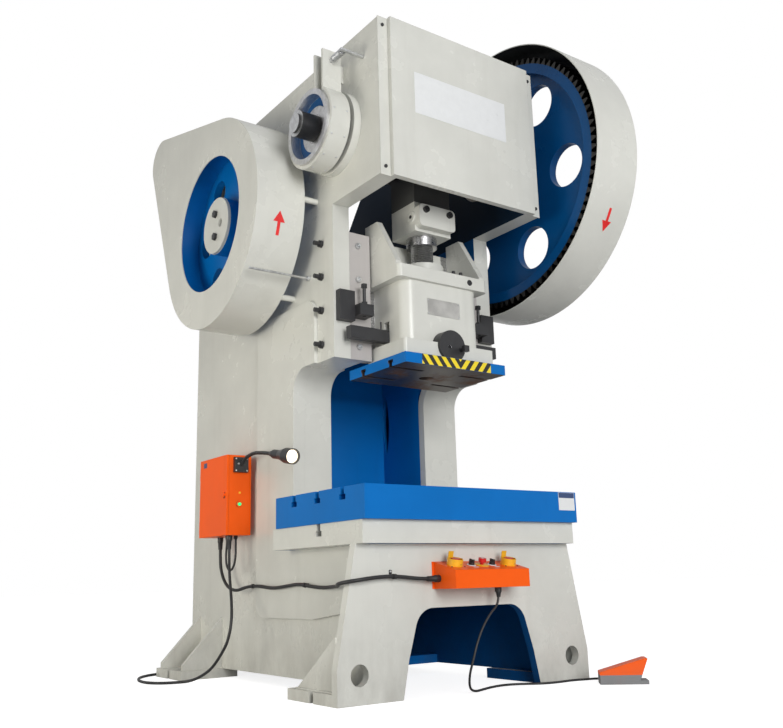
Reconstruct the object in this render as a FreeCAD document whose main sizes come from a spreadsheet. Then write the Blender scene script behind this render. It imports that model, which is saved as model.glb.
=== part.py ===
"""Mechanical stamping press: open-front C-frame, single crank, 160 t class.

Millimetres, +Z up.  X runs across the press and is 0 on its centreline, Y runs
from the front of the bolster to the back, and Z = 0 is the floor.  At the end
every piece is moved along X and Y by the centring shift, so that the finished
part stands with the middle of its footprint box on the origin.
"""
import FreeCAD
import Part
import math
import os
import Sketcher

Vector = FreeCAD.Vector
Rotation = FreeCAD.Rotation
Placement = FreeCAD.Placement

doc = FreeCAD.newDocument("StampingPress")

# --------------------------------------------------------------------------
# Driving dimensions.  Each row: alias, millimetres (or degrees, or a count), note.
# --------------------------------------------------------------------------
SIZES = (
    # frame
    ("side_half", 483, "centreline to the outer face of a side plate"),
    ("side_thick", 45, "side plate"),
    ("cheek_thick", 45, "cheek plate inside the head and guides"),
    ("doubler_thick", 19, "outer doubler beside the throat"),
    ("frame_top", 3000, "top of the frame above the floor"),
    ("slope_start", 1433, "where the top of the frame begins to fall to the rear"),
    ("frame_rear", 1935, "rear face of the frame"),
    ("slope_foot", 2392, "height where the slope meets the rear face"),
    ("head_floor", 2220, "underside of the overhanging head"),
    ("guide_face", 402, "front face of the guide columns"),
    ("guide_floor", 1470, "underside of the guides, top of the throat"),
    ("throat_face", 751, "front face of the columns beside the throat"),
    ("throat_round", 110, "radius in the upper corner of the throat"),
    ("flange_thick", 45, "bent throat flange"),
    ("flange_reach", 289, "centreline to the inner edge of a throat flange"),
    ("liner_thick", 20, "throat liner plate"),
    ("liner_rear", 1130, "inner face of the liner's back wall"),
    ("liner_low", 400, "lower edge of the throat liner"),
    ("liner_high", 2000, "upper edge of the throat liner"),
    ("slit_tall", 330, "height of the lens-shaped opening in a liner wall"),
    ("slit_wide", 56, "width of the lens-shaped opening"),
    ("slit_height", 1315, "middle of the lens-shaped opening above the floor"),
    ("cheek_rear", 760, "rear edge of the cheek plates"),
    ("rear_thick", 40, "rear plate"),
    ("roof_thick", 25, "roof plate"),
    ("doubler_rear", 1130, "rear edge of the doublers"),
    ("doubler_low", 307, "lower edge of the doublers"),
    ("doubler_turn", 583, "where the doubler's lower edge begins to rise"),
    ("doubler_front_low", 362, "height of the doubler's lower edge at the front leg"),
    ("doubler_step", 550, "front edge of the doubler above the throat"),
    ("doubler_high", 1790, "upper edge of the doublers"),
    ("doubler_round", 70, "corner radius of the doublers"),
    # table, bolster, legs and feet
    ("table_half", 594, "half width of the table plate"),
    ("table_front", 28, "front face of the table plate"),
    ("table_rear", 778, "rear face of the table plate"),
    ("table_low", 615, "underside of the table plate"),
    ("table_high", 710, "top of the table plate"),
    ("table_bore", 125, "radius of the scrap hole in the table"),
    ("bolster_over", 6, "bolster beyond the table on each side"),
    ("bolster_deep", 740, "front to back of the bolster"),
    ("bolster_thick", 140, "bolster"),
    ("bolster_bore", 90, "radius of the scrap hole in the bolster"),
    ("slot_neck", 28, "neck width of the bolster T-slots"),
    ("slot_neck_deep", 30, "neck depth of the bolster T-slots"),
    ("slot_foot", 48, "foot width of the bolster T-slots"),
    ("slot_foot_deep", 22, "foot depth of the bolster T-slots"),
    ("slot_pitch", 202, "spacing of the bolster T-slots"),
    ("slot_middle", 368, "middle bolster T-slot behind the bolster's front"),
    ("leg_front", 77, "front face of the leg plate"),
    ("leg_thick", 40, "leg plate"),
    ("leg_top_over", 3, "leg plate beyond the table on each side"),
    ("leg_foot_half", 690, "half width of the leg plate at the floor"),
    ("leg_bend", 136, "height where the leg's edge turns upright"),
    ("arch_foot_half", 378, "half width of the arch at the floor"),
    ("arch_bend_half", 346, "half width of the arch at its bend"),
    ("arch_bend", 150, "height of the bend in the arch"),
    ("arch_top_half", 284, "half width of the arch at its top"),
    ("arch_top", 352, "top of the arch"),
    ("arch_round", 95, "upper corner radius of the arch"),
    ("leg_hole", 42, "radius of the lifting hole in a leg"),
    ("leg_hole_inset", 104, "lifting hole in from the leg's edge"),
    ("leg_hole_high", 110, "height of a lifting hole"),
    ("foot_thick", 45, "foot plates"),
    ("foot_inner", 400, "centreline to the inner end of a foot plate"),
    ("front_foot_rear", 466, "rear edge of a front foot"),
    ("gusset_thick", 25, "gussets on the feet"),
    ("front_gusset_inset", 50, "front gusset in from the leg's edge"),
    ("front_gusset_top", 268, "top of a front gusset"),
    ("front_gusset_rear", 432, "rear end of a front gusset"),
    ("foot_slot_wide", 30, "width of a foundation slot"),
    ("foot_slot_deep", 62, "depth of a foundation slot from the foot's edge"),
    ("front_slot_back", 274, "foundation slot in a front foot"),
    ("rear_foot_front", 1530, "front edge of a rear foot"),
    ("rear_foot_rear", 1862, "rear edge of a rear foot"),
    ("rear_foot_out", 230, "outer edge of a rear foot, out from the side plate"),
    ("rear_gusset_top", 300, "top of the rear gussets"),
    ("rear_gusset_lip", 72, "outer height of the rear gussets"),
    ("rear_gusset_inset", 16, "rear gusset to the edge of its foot"),
    ("tie_front", 900, "front face of the base tie bar"),
    ("tie_deep", 70, "front to back of the base tie bar"),
    ("tie_tall", 42, "height of the base tie bar"),
    # guides, gibs and slide
    ("press_axis", 345, "crank and slide axis behind the bolster's front"),
    ("gib_thick", 45, "gib plate"),
    ("gib_inner", 276, "centreline to the inner edge of a gib"),
    ("gib_high", 2096, "top of the gibs"),
    ("way_inner", 310, "centreline to the way face"),
    ("way_deep", 203, "front to back of a way block"),
    ("way_lip", 30, "rear lip of a way block"),
    ("way_high", 2100, "top of the way blocks"),
    ("way_gap", 0.3, "running gap between the slide and its ways"),
    ("slide_half", 225, "half width of the slide's body"),
    ("slide_front", 192, "front face of the slide's body"),
    ("slide_round", 58, "radius of the slide's front corners"),
    ("slide_top", 1898, "top of the slide's body"),
    ("skirt_half", 265, "half width of the slide's lower skirt"),
    ("skirt_front", 150, "front face of the skirt"),
    ("skirt_high", 1534, "top of the skirt"),
    ("skirt_low", 1456, "underside of the skirt"),
    ("skirt_round", 14, "radius of the skirt's front corners"),
    ("band_front", 175, "front face of the slide's upper band"),
    ("band_low", 1835, "underside of the upper band"),
    ("band_round", 24, "radius of the upper band's front corners"),
    ("wing_half", 268, "centreline to the outer face of a wing"),
    ("wing_thick", 30, "slide wing"),
    ("wing_high", 2155, "top of the wings"),
    ("wing_flat", 345, "where the slope of a wing ends"),
    ("wing_toe", 20, "height of a wing's front edge above the slide's body"),
    ("tail_high", 2095, "top of the slide's guide rails"),
    ("tail_low", 1520, "underside of the slide's guide rails"),
    ("tail_web", 200, "half width of the web between the guide rails"),
    ("cap_radius", 104, "ball cap on the slide"),
    ("cap_high", 1962, "top of the ball cap"),
    ("ball_radius", 84, "ball of the adjusting screw"),
    ("ball_high", 1862, "centre of the ball"),
    ("socket_clear", 5, "opening round the adjusting screw above its ball"),
    ("plate_half", 295, "half width of the slide plate"),
    ("plate_front", 108, "front face of the slide plate"),
    ("plate_deep", 458, "front to back of the slide plate"),
    ("plate_thick", 48, "slide plate"),
    ("plate_slot_front", 225, "front T-slot of the slide plate"),
    ("plate_slot_rear", 447, "rear T-slot of the slide plate"),
    ("plate_slot_end", 110, "centreline to the blind end of a T-slot"),
    ("plate_slot_neck", 22, "neck width of the slide plate's T-slots"),
    ("plate_slot_foot", 38, "foot width of the slide plate's T-slots"),
    ("shank_bore", 35, "radius of the shank hole"),
    ("clamp_radius", 76, "radius of the shank clamp"),
    ("clamp_high", 1522, "centre of the shank clamp"),
    ("clamp_proud", 14, "shank clamp in front of the skirt"),
    ("clamp_gap", 1, "gap round the shank clamp"),
    ("clamp_deep", 38, "shank clamp behind the slide's face"),
    ("clamp_bore", 9, "radius of the blind hole in the shank clamp"),
    ("clamp_bore_deep", 40, "depth of the blind hole"),
    ("clamp_bolt_side", 50, "clamp bolt right of the centreline"),
    ("clamp_bolt", 10, "radius of the clamp bolt"),
    ("clamp_bolt_head", 28, "square head of the clamp bolt"),
    ("clamp_bolt_neck", 22, "clamp bolt between its head and the clamp"),
    ("bar_wide", 40, "knock-out bar front to back"),
    ("bar_tall", 58, "knock-out bar height"),
    ("bar_front", 325, "front face of the knock-out bar"),
    ("bar_low", 1552, "underside of the knock-out bar"),
    ("bar_half", 440, "half length of the knock-out bar"),
    ("bar_lift", 45, "travel of the knock-out bar in its slot"),
    ("bar_gap", 0.5, "gap round the knock-out bar"),
    ("bar_pin", 4, "radius of a knock-out bar's pin"),
    ("bar_pin_tall", 42, "height of a pin above the bar"),
    ("bar_pin_out", 34, "pin outside the slide's body"),
    ("stop_high", 1790, "top of a stop block"),
    ("stop_low", 1645, "underside of a stop block"),
    ("stop_deep", 36, "stop block in front of the guide face"),
    ("stop_reach", 44, "stop arm in front of its block"),
    ("stop_arm_low", 1668, "underside of a stop arm"),
    ("stop_arm_high", 1722, "top of a stop arm"),
    ("stop_bolt_radius", 8, "stop bolt"),
    ("stop_inset", 12, "stop block in from the side plate's outer face"),
    ("stop_over", 5, "stop block over the cheek's inner face"),
    ("stop_arm_clear", 44, "stop arm outside the slide's wing"),
    ("stop_bolt_rise", 84, "stop bolt above its arm"),
    ("stop_head", 18, "height of a stop bolt's head"),
    ("stop_nut", 14, "height of a stop bolt's lock nut"),
    ("stop_across", 27, "stop bolt's hexagons across the flats"),
    # crank train
    ("crank_high", 2548, "crank axis above the floor"),
    ("throw", 80, "half the stroke of the slide"),
    ("journal", 100, "radius of the crank journals"),
    ("pin_radius", 130, "radius of the eccentric"),
    ("pin_half", 116, "half length of the eccentric"),
    ("web_thick", 60, "crank web"),
    ("journal_fit", 0.1, "running gap round the journals"),
    ("bearing_radius", 130, "outside of the crank bushes"),
    ("bearing_flange", 200, "radius of the crank bearing flanges"),
    ("bearing_proud", 37, "bearing flange outside the side plate"),
    ("crank_right", 279, "right end of the crankshaft, out from the side plate"),
    ("crank_left", 129, "left end of the crankshaft, out from the side plate"),
    ("crank_tail", 70, "radius of the crank's left tail"),
    ("rod_half", 110, "half width of the connecting rod"),
    ("rod_deep", 95, "half depth of the connecting rod's shank"),
    ("rod_low", 2112, "lower end of the connecting rod"),
    ("rod_eye_front", 192, "radius of the rod's eye in front"),
    ("rod_eye_back", 208, "radius of the rod's eye behind"),
    ("eye_shift", 45, "rear centre of the rod's eye behind the crank pin"),
    ("eye_clear", 166, "radius of the freed rear part of the eye"),
    ("ear_half", 48, "half height of the ears where the rod's eye parts"),
    ("ear_out", 62, "ears outside the rod's eye"),
    ("ear_in", 40, "ears inside the rod's eye"),
    ("cap_bolt_out", 34, "cap bolt outside the rod's eye"),
    ("cap_bolt", 16, "radius of a cap bolt"),
    ("cap_nut", 46, "cap bolt's hexagons across the flats"),
    ("cap_nut_tall", 20, "height of a cap bolt's hexagons"),
    ("clamp_boss_proud", 40, "clamp boss in front of the rod"),
    ("clamp_boss_low", 2128, "underside of the clamp boss"),
    ("clamp_boss_high", 2242, "top of the clamp boss"),
    ("boss_round", 22, "radius of the clamp boss's corners"),
    ("rod_clamp_side", 72, "centreline to a clamp screw of the rod"),
    ("rod_clamp_rise", 28, "clamp screws of the rod above the boss's middle"),
    ("rod_clamp_screw", 10, "radius of a clamp screw"),
    ("rod_clamp_deep", 60, "depth of a clamp screw in the rod"),
    ("rod_clamp_head", 14, "height and key size of a clamp screw's head"),
    ("screw_radius", 55, "adjusting screw"),
    ("screw_top", 2330, "top of the adjusting screw"),
    ("die_travel", 90, "travel of the die height adjustment"),
    ("screw_fit", 0.3, "gap round the adjusting screw"),
    ("nut_radius", 76, "lock nut"),
    ("nut_thick", 46, "lock nut"),
    ("nut_notch", 16, "width of a spanner notch in the lock nut"),
    ("nut_notch_deep", 8, "depth of a spanner notch"),
    # gears and flywheel
    ("tooth_module", 14, "module of the gear pair"),
    ("gear_teeth", 96, "teeth on the big gear"),
    ("pinion_teeth", 16, "teeth on the pinion"),
    ("mesh_slope", 19.9, "degrees by which the pinion lies below the crank"),
    ("pressure_angle", 20, "degrees of the teeth's flanks"),
    ("tooth_share", 0.84, "share of a full tooth's thickness that is left"),
    ("tooth_tip", 0.95, "addendum in modules"),
    ("tooth_root", 1.25, "dedendum in modules"),
    ("pinion_over", 4, "pinion beyond the gear's rim on each side"),
    ("gear_near", 77, "inner face of the gear rim, out from the side plate"),
    ("gear_wide", 140, "width of the gear rim"),
    ("gear_rim", 52, "depth of the rim under the teeth"),
    ("gear_web", 44, "gear web"),
    ("gear_web_near", 113, "inner face of the gear web, out from the side plate"),
    ("gear_hub", 165, "radius of the gear hub"),
    ("gear_hub_near", 53, "inner face of the gear hub, out from the side plate"),
    ("gear_hub_far", 259, "outer face of the gear hub, out from the side plate"),
    ("gear_hole", 112, "radius of the holes in the web"),
    ("gear_hole_ring", 448, "radius on which the web holes lie"),
    ("gear_hole_turn", 7, "degrees from the rearward line to a web hole"),
    ("drive_shaft", 60, "radius of the drive shaft"),
    ("drive_left", 277, "left end of the drive shaft, out from the side plate"),
    ("drive_right", 265, "right end of the drive shaft, out from the side plate"),
    ("housing_radius", 140, "flange of a drive shaft bearing"),
    ("housing_bore", 95, "spigot of a drive shaft bearing"),
    ("housing_proud", 30, "bearing flange outside the side plate"),
    ("housing_dish", 30, "ring round the shaft on a bearing's flange"),
    ("wheel_radius", 515, "flywheel"),
    ("wheel_left", 307, "outer face of the flywheel's rim, out from the side plate"),
    ("wheel_wide", 170, "width of the flywheel's rim"),
    ("wheel_rim", 95, "depth of the flywheel's rim"),
    ("wheel_web", 40, "flywheel web"),
    ("wheel_web_left", 207, "outer face of the flywheel web, out from the side plate"),
    ("wheel_hub", 150, "radius of the flywheel hub"),
    ("wheel_draft", 14, "draft inside the flywheel's rim"),
    ("wheel_hub_long", 40, "hub right of the flywheel's web"),
    ("wheel_window", 72, "radius of the flywheel's windows"),
    ("wheel_window_ring", 288, "radius on which the windows lie"),
    ("disc_radius", 148, "end disc of the drive shaft"),
    ("disc_thick", 14, "end disc"),
    ("disc_hole", 22, "radius of the hole in the end disc"),
    ("disc_hole_out", 52, "hole in the end disc from the shaft's axis"),
    ("disc_bolt_out", 62, "bolts of the end disc from the shaft's axis"),
    ("disc_bolt", 36, "bolts of the end disc across the flats"),
    ("groove_count", 4, "belt grooves"),
    ("groove_pitch", 26, "spacing of the belt grooves"),
    ("groove_deep", 19, "depth of a belt groove"),
    ("groove_wide", 22, "width of a belt groove at the rim"),
    ("belt_thick", 14, "height of a belt"),
    ("belt_wide", 13.4, "width of a belt"),
    # guards
    ("fly_guard_left", 332, "outer face of the flywheel guard, out from the side plate"),
    ("fly_guard_right", 77, "inner edge of the flywheel guard, out from the side plate"),
    ("fly_guard_clear", 35, "flywheel guard round the flywheel's rim"),
    ("fly_nose_clear", 37, "flywheel guard round the motor pulley"),
    ("fly_guard_open", 355, "opening in the flywheel guard"),
    ("guard_sheet", 5, "guard sheet"),
    ("gear_guard_near", 25, "inner edge of the gear guard, out from the side plate"),
    ("gear_guard_far", 307, "outer face of the gear guard, out from the side plate"),
    ("gear_guard_clear", 70, "gear guard outside the gear's pitch circle"),
    ("gear_nose_clear", 46, "gear guard outside the pinion's pitch circle"),
    ("gear_guard_open", 640, "opening in the gear guard"),
    ("stay_radius", 15, "guard stay"),
    ("stay_bite", 2, "depth of a stay in the guard's sheet"),
    ("stay_gap", 8, "stay to the wheel inside the guard"),
    ("cover_flange", 53, "width of the cover's flange"),
    ("cover_proud", 30, "cover pan in front of its flanges"),
    ("cover_sheet", 4, "cover sheet"),
    ("cover_low", 2215, "lower edge of the cover"),
    ("cover_high", 3005, "upper edge of the cover"),
    ("cover_screw_inset", 26, "cover screw in from the side plate's outer face"),
    ("cover_screw_end", 42, "cover screw to the end of the cover"),
    ("cover_screw", 8, "radius of a cover screw's head"),
    ("cover_shank", 5, "radius of a cover screw's shank"),
    ("head_tall", 6, "height of a cover screw's head"),
    ("nut_wide", 16, "height of the lock nuts"),
    ("screw_bite", 20, "depth of a screw in its hole"),
    ("gib_bolt_inset", 45, "gib bolt in from the cheek's inner face"),
    ("gib_bolt_high", 2031, "upper gib bolt"),
    ("gib_bolt_middle", 1862, "middle gib bolt"),
    ("gib_bolt_low", 1532, "lower gib bolt"),
    ("gib_head", 14, "radius and height of a gib bolt's head"),
    ("gib_shank", 9, "radius of a gib bolt"),
    ("adjuster_back", 505, "adjusting screws behind the bolster's front"),
    ("adjuster_high", 2049, "highest adjusting screw"),
    ("adjuster_pitch", 166.7, "spacing of the adjusting screws"),
    ("adjuster_radius", 11, "adjusting screw of the gibs"),
    ("adjuster_long", 44, "adjusting screw outside the side plate"),
    ("stud_back", 620, "guard stud behind the bolster's front"),
    ("stud_high", 1907, "guard stud above the floor"),
    ("stud_end", 327, "outer end of the guard stud, out from the side plate"),
    ("stud_radius", 6, "guard stud"),
    # motor
    ("motor_along", 290, "motor axis down the slope from its upper end"),
    ("motor_lift", 217, "motor axis above the slope"),
    ("motor_radius", 158, "motor body"),
    ("motor_inset", 13, "drive end of the motor in from the side plate"),
    ("motor_long", 560, "motor length"),
    ("motor_shaft", 24, "radius of the motor shaft"),
    ("fin_count", 24, "cooling fins round the motor"),
    ("fin_root", 8, "stator inside the circle of the fins"),
    ("foot_rail", 60, "width of a motor foot"),
    ("motor_foot", 140, "motor axis to the ends of its feet"),
    ("foot_inset", 15, "motor foot in from the stator's end"),
    ("terminal_rise", 35, "terminal box above the motor"),
    ("motor_plate_thick", 25, "motor plate"),
    ("motor_rib", 80, "height of the motor plate's rib"),
    ("plate_upper", 73, "upper edge of the motor plate down the slope"),
    ("plate_long", 700, "length of the motor plate down the slope"),
    ("motor_plate_right", 120, "right end of the motor plate"),
    ("pulley_radius", 95, "motor pulley"),
    # brake
    ("drum_radius", 180, "brake drum"),
    ("drum_left", 172, "outer face of the brake drum, out from the side plate"),
    ("drum_wide", 125, "width of the brake drum"),
    ("drum_rim", 26, "rim of the brake drum"),
    ("drum_web_left", 121, "outer face of the drum's web, out from the side plate"),
    ("drum_web", 26, "web of the brake drum"),
    ("drum_hub", 110, "radius of the brake drum's hub"),
    ("band_gap", 0.4, "gap between the drum and the lining"),
    ("lining_thick", 8, "brake lining"),
    ("band_thick", 9, "brake band"),
    ("band_left", 158, "outer edge of the brake band, out from the side plate"),
    ("band_right", 57, "inner edge of the brake band, out from the side plate"),
    ("lug_front_fore", 123, "front lug of the brake band before the crank's axis"),
    ("lug_rear_fore", 53, "rear lug of the brake band before the crank's axis"),
    ("lug_thick", 12, "lugs of the brake band"),
    ("lug_rise", 354, "top of the brake lugs above the crank's axis"),
    ("tension_rise", 304, "tension bolt above the crank's axis"),
    ("tension_radius", 9, "tension bolt"),
    ("tension_fore", 227, "front end of the tension bolt before the crank's axis"),
    ("cam_radius", 62, "rotary cam switch"),
    ("cam_long", 112, "length of the rotary cam switch"),
    ("cam_end", 12, "length of the cam switch's end cap"),
    ("cam_step", 16, "end cap inside the cam switch's radius"),
    # control console
    ("console_half", 206, "half width of the console"),
    ("console_front", -70, "front face of the console"),
    ("console_low", 428, "underside of the console"),
    ("console_lip", 503, "height of the console's front face"),
    ("console_high", 540, "height of the console at its back"),
    ("console_flange", 9, "console's back plate beyond its sides"),
    ("palm_side", 150, "centreline to a palm button"),
    ("palm_radius", 20, "palm button"),
    ("palm_tall", 16, "palm button's cap"),
    ("stem_radius", 8, "stem of a button"),
    ("stem_gap", 0.4, "gap round a stem"),
    ("stop_cap", 17, "emergency button"),
    ("knob_side", 58, "centreline to a selector"),
    ("knob_radius", 13, "selector"),
    ("guard_cup", 34, "palm button guard"),
    ("guard_wall", 3, "wall of a palm button guard"),
    ("guard_tall", 30, "height of a palm button guard"),
    ("guard_tab", 24, "rear tab of a guard above its cup"),
    ("guard_tab_half", 13, "half width of a guard's rear tab"),
    ("palm_rise", 14, "underside of a button's cap above the sheet"),
    ("stem_long", 24, "stem of a button inside the box"),
    ("knob_stem", 5, "stem of a selector"),
    ("collar_thick", 4, "collar that keeps a button in its sheet"),
    ("collar_low", 8, "depth of a collar's underside below the sheet's top"),
    ("gland_radius", 15, "cord gland"),
    ("gland_long", 20, "length of a cord gland"),
    ("conduit_back", 40, "console's side gland behind the bolster's front"),
    ("conduit_high", 470, "console's side gland above the floor"),
    ("foot_cord_side", 84, "centreline to the gland under the console"),
    # electrical box
    ("ebox_left", 147, "front of the box's body, out from the side plate"),
    ("ebox_right", 25, "back of the box's body, out from the side plate"),
    ("ebox_front", 1180, "front side of the box"),
    ("ebox_rear", 1500, "rear side of the box"),
    ("ebox_low", 707, "underside of the box"),
    ("ebox_high", 1108, "top of the box"),
    ("ebox_wall", 3, "wall of the box"),
    ("conduit_gland_in", 70, "conduit's gland in from the box's open side"),
    ("conduit_gland_fore", 80, "conduit's gland before the box's rear side"),
    ("supply_gland_in", 30, "supply cord's gland in from the box's open side"),
    ("supply_gland_back", 50, "supply cord's gland behind the box's front side"),
    ("door_thick", 12, "box door"),
    ("door_gap", 1, "gap between the door and the box"),
    ("hinge_radius", 7, "hinge barrel"),
    ("hinge_pin", 3, "hinge pin"),
    ("hinge_long", 40, "length of a hinge barrel"),
    ("start_inset", 55, "start button in from the box's open side"),
    ("start_high", 860, "start button above the floor"),
    ("lamp_inset", 60, "lamp's base in from the box's open side"),
    ("lamp_high", 1058, "middle of the lamp's base"),
    ("lamp_base", 38, "half width of the lamp's base"),
    ("lamp_head", 37, "radius of the lamp's rim"),
    ("neck_radius", 9, "bendable neck of the lamp"),
    ("neck_reach", 330, "end of the lamp's neck in front of the box"),
    # foot pedal
    ("pedal_long", 208, "pedal base"),
    ("pedal_wide", 104, "pedal base"),
    ("pedal_side", 642, "middle of the pedal right of the centreline"),
    ("pedal_fore", -168, "middle of the pedal behind the bolster's front"),
    ("pedal_turn", -42.5, "degrees by which the pedal is turned"),
    ("pedal_wall", 4, "walls of the pedal's hood and its tread"),
    ("pedal_base", 16, "height of the pedal's base"),
    ("hood_low", 52, "height of the hood at its closed end"),
    ("hood_high", 108, "height of the hood at its open end"),
    ("hood_inset", 12, "flat end of the hood's roof"),
    ("pivot_inset", 26, "treadle's pivot from the closed end"),
    ("pivot_high", 32, "treadle's pivot above the floor"),
    ("tread_rise", 11, "degrees by which the treadle rises at rest"),
    ("pedal_gland", 19, "cord gland from the closed end"),
    ("foot_cord_high", 10, "middle of the pedal's cord gland above the floor"),
    # cords
    ("conduit_radius", 8, "conduit to the console"),
    ("supply_radius", 7, "supply cord"),
    ("foot_cord_radius", 5, "cord to the pedal"),
    ("cord_pitch", 15.2, "spacing of the coil's turns"),
    ("coil_turns", 2.75, "turns in each layer of the coil"),
    ("coil_middle", 77, "mean radius of the coil"),
    ("coil_start", -63.4, "degrees at which the coil begins"),
    ("coil_side", -380, "middle of the coil right of the centreline"),
    ("coil_back", 2120, "middle of the coil behind the bolster's front"),
    ("tail_long", 80, "stretch between the coil and the plug"),
    ("plug_radius", 35, "supply plug"),
)


def text_of(value):
    """The sheet expression of a size, or the digits of a plain number."""
    if isinstance(value, Size):
        return value.text
    digits = "%.10g" % value
    return "(%s)" % digits if value < 0 else digits


class Size(float):
    """A number that remembers the sheet expression that gives it."""

    def __new__(cls, value, text):
        made = float.__new__(cls, value)
        made.text = text
        return made

    def __add__(self, other):
        return Size(float(self) + float(other), "(%s + %s)" % (self.text, text_of(other)))

    def __radd__(self, other):
        return Size(float(other) + float(self), "(%s + %s)" % (text_of(other), self.text))

    def __sub__(self, other):
        return Size(float(self) - float(other), "(%s - %s)" % (self.text, text_of(other)))

    def __rsub__(self, other):
        return Size(float(other) - float(self), "(%s - %s)" % (text_of(other), self.text))

    def __mul__(self, other):
        return Size(float(self) * float(other), "(%s * %s)" % (self.text, text_of(other)))

    def __rmul__(self, other):
        return Size(float(other) * float(self), "(%s * %s)" % (text_of(other), self.text))

    def __truediv__(self, other):
        return Size(float(self) / float(other), "(%s / %s)" % (self.text, text_of(other)))

    def __neg__(self):
        return Size(-float(self), "(0 - %s)" % self.text)


def sine(degrees):
    return Size(math.sin(math.radians(degrees)), "sin(%s * 1deg)" % text_of(degrees))


def cosine(degrees):
    return Size(math.cos(math.radians(degrees)), "cos(%s * 1deg)" % text_of(degrees))


class Sheet:
    """Reads as Sheet.name, each a Size bound to the spreadsheet's cell."""


sizes = doc.addObject("Spreadsheet::Sheet", "Sizes")
for row, (alias, amount, note) in enumerate(SIZES, start=1):
    sizes.set("A%d" % row, alias)
    sizes.set("B%d" % row, str(amount))
    sizes.set("C%d" % row, note)
    sizes.setAlias("B%d" % row, alias)
    setattr(Sheet, alias, Size(amount, "Sizes.%s" % alias))
doc.recompute()
S = Sheet

nodes = {}


# --------------------------------------------------------------------------
# Builders
# --------------------------------------------------------------------------
def bind(item, prop, value):
    """Set a property and, where the value comes from the sheet, keep it bound."""
    if isinstance(value, Size):
        item.setExpression(prop, value.text)


def place(item, x=0.0, y=0.0, z=0.0, turn=None):
    item.Placement = Placement(Vector(float(x), float(y), float(z)), turn or Rotation())
    for letter, value in zip("xyz", (x, y, z)):
        bind(item, "Placement.Base.%s" % letter, value)
    return item


def box(x, y, z):
    """A block between the given pairs of coordinates."""
    item = doc.addObject("Part::Box", "Block")
    for prop, (low, high) in zip(("Length", "Width", "Height"), (x, y, z)):
        setattr(item, prop, float(high - low))
        bind(item, prop, high - low)
    return place(item, x[0], y[0], z[0])


TURN_TO = {
    "x": Rotation(Vector(0, 1, 0), 90),
    "y": Rotation(Vector(1, 0, 0), -90),
    "z": Rotation(),
}


def along(axis, low, u, v):
    """The point at `low` on an axis whose other two coordinates are u and v."""
    return {"x": (low, u, v), "y": (u, low, v), "z": (u, v, low)}[axis]


def rod(radius, axis, span, u, v):
    """A cylinder along an axis; u, v are its other two coordinates in X, Y, Z order."""
    item = doc.addObject("Part::Cylinder", "Rod")
    item.Radius = float(radius)
    item.Height = float(span[1] - span[0])
    bind(item, "Radius", radius)
    bind(item, "Height", span[1] - span[0])
    return place(item, *along(axis, span[0], u, v), turn=TURN_TO[axis])


def cone(radius_low, radius_high, axis, span, u, v):
    item = doc.addObject("Part::Cone", "Taper")
    item.Radius1 = float(radius_low)
    item.Radius2 = float(radius_high)
    item.Height = float(span[1] - span[0])
    bind(item, "Radius1", radius_low)
    bind(item, "Radius2", radius_high)
    bind(item, "Height", span[1] - span[0])
    return place(item, *along(axis, span[0], u, v), turn=TURN_TO[axis])


def ball(radius, x, y, z):
    item = doc.addObject("Part::Sphere", "Ball")
    item.Radius = float(radius)
    bind(item, "Radius", radius)
    return place(item, x, y, z)


def join(*pieces):
    item = doc.addObject("Part::MultiFuse", "Weld")
    item.Shapes = list(pieces)
    item.Refine = True
    return item


def cut(base, *tools):
    item = doc.addObject("Part::Cut", "Cut")
    item.Base = base
    item.Tool = tools[0] if len(tools) == 1 else together(*tools)
    item.Refine = True
    return item


def common(base, tool):
    item = doc.addObject("Part::Common", "Overlap")
    item.Base = base
    item.Tool = tool
    return item


def together(*pieces):
    """A fused tool, so that overlapping cutters act as one."""
    item = doc.addObject("Part::MultiFuse", "Tools")
    item.Shapes = list(pieces)
    return item


def group(*pieces):
    """Separate solids that are kept as one node."""
    item = doc.addObject("Part::Compound", "Set")
    item.Links = list(pieces)
    return item


def mirror(source):
    """The same piece on the other side of the centreline."""
    item = doc.addObject("Part::Mirroring", "Mirror")
    item.Source = source
    item.Normal = Vector(1, 0, 0)
    return item


def both_sides(source):
    return group(source, mirror(source))


PLANES = {"x": "YZ_Plane", "y": "XZ_Plane", "z": "XY_Plane"}


def sketch_on(body, axis, loops, circles=()):
    """A closed, fully constrained outline whose corners and holes follow the sheet."""
    sketch = body.newObject("Sketcher::SketchObject", "Outline")
    plane = [item for item in body.Origin.OriginFeatures if item.Role == PLANES[axis]][0]
    sketch.AttachmentSupport = (plane, [""])
    sketch.MapMode = "FlatFace"
    for corners in loops:
        first = sketch.GeometryCount
        count = len(corners)
        for index in range(count):
            a, b = corners[index], corners[(index + 1) % count]
            sketch.addGeometry(Part.LineSegment(Vector(float(a[0]), float(a[1]), 0),
                                                Vector(float(b[0]), float(b[1]), 0)), False)
        for index in range(count):
            sketch.addConstraint(Sketcher.Constraint(
                "Coincident", first + index, 2, first + (index + 1) % count, 1))
        for index, corner in enumerate(corners):
            for kind, value in (("DistanceX", corner[0]), ("DistanceY", corner[1])):
                number = sketch.addConstraint(Sketcher.Constraint(
                    kind, -1, 1, first + index, 1, float(value)))
                bind(sketch, "Constraints[%d]" % number, value)
    for u, v, radius in circles:
        index = sketch.addGeometry(
            Part.Circle(Vector(float(u), float(v), 0), Vector(0, 0, 1), float(radius)), False)
        for kind, value in (("DistanceX", u), ("DistanceY", v)):
            number = sketch.addConstraint(Sketcher.Constraint(kind, -1, 1, index, 3, float(value)))
            bind(sketch, "Constraints[%d]" % number, value)
        number = sketch.addConstraint(Sketcher.Constraint("Radius", index, float(radius)))
        bind(sketch, "Constraints[%d]" % number, radius)
    return sketch


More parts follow.
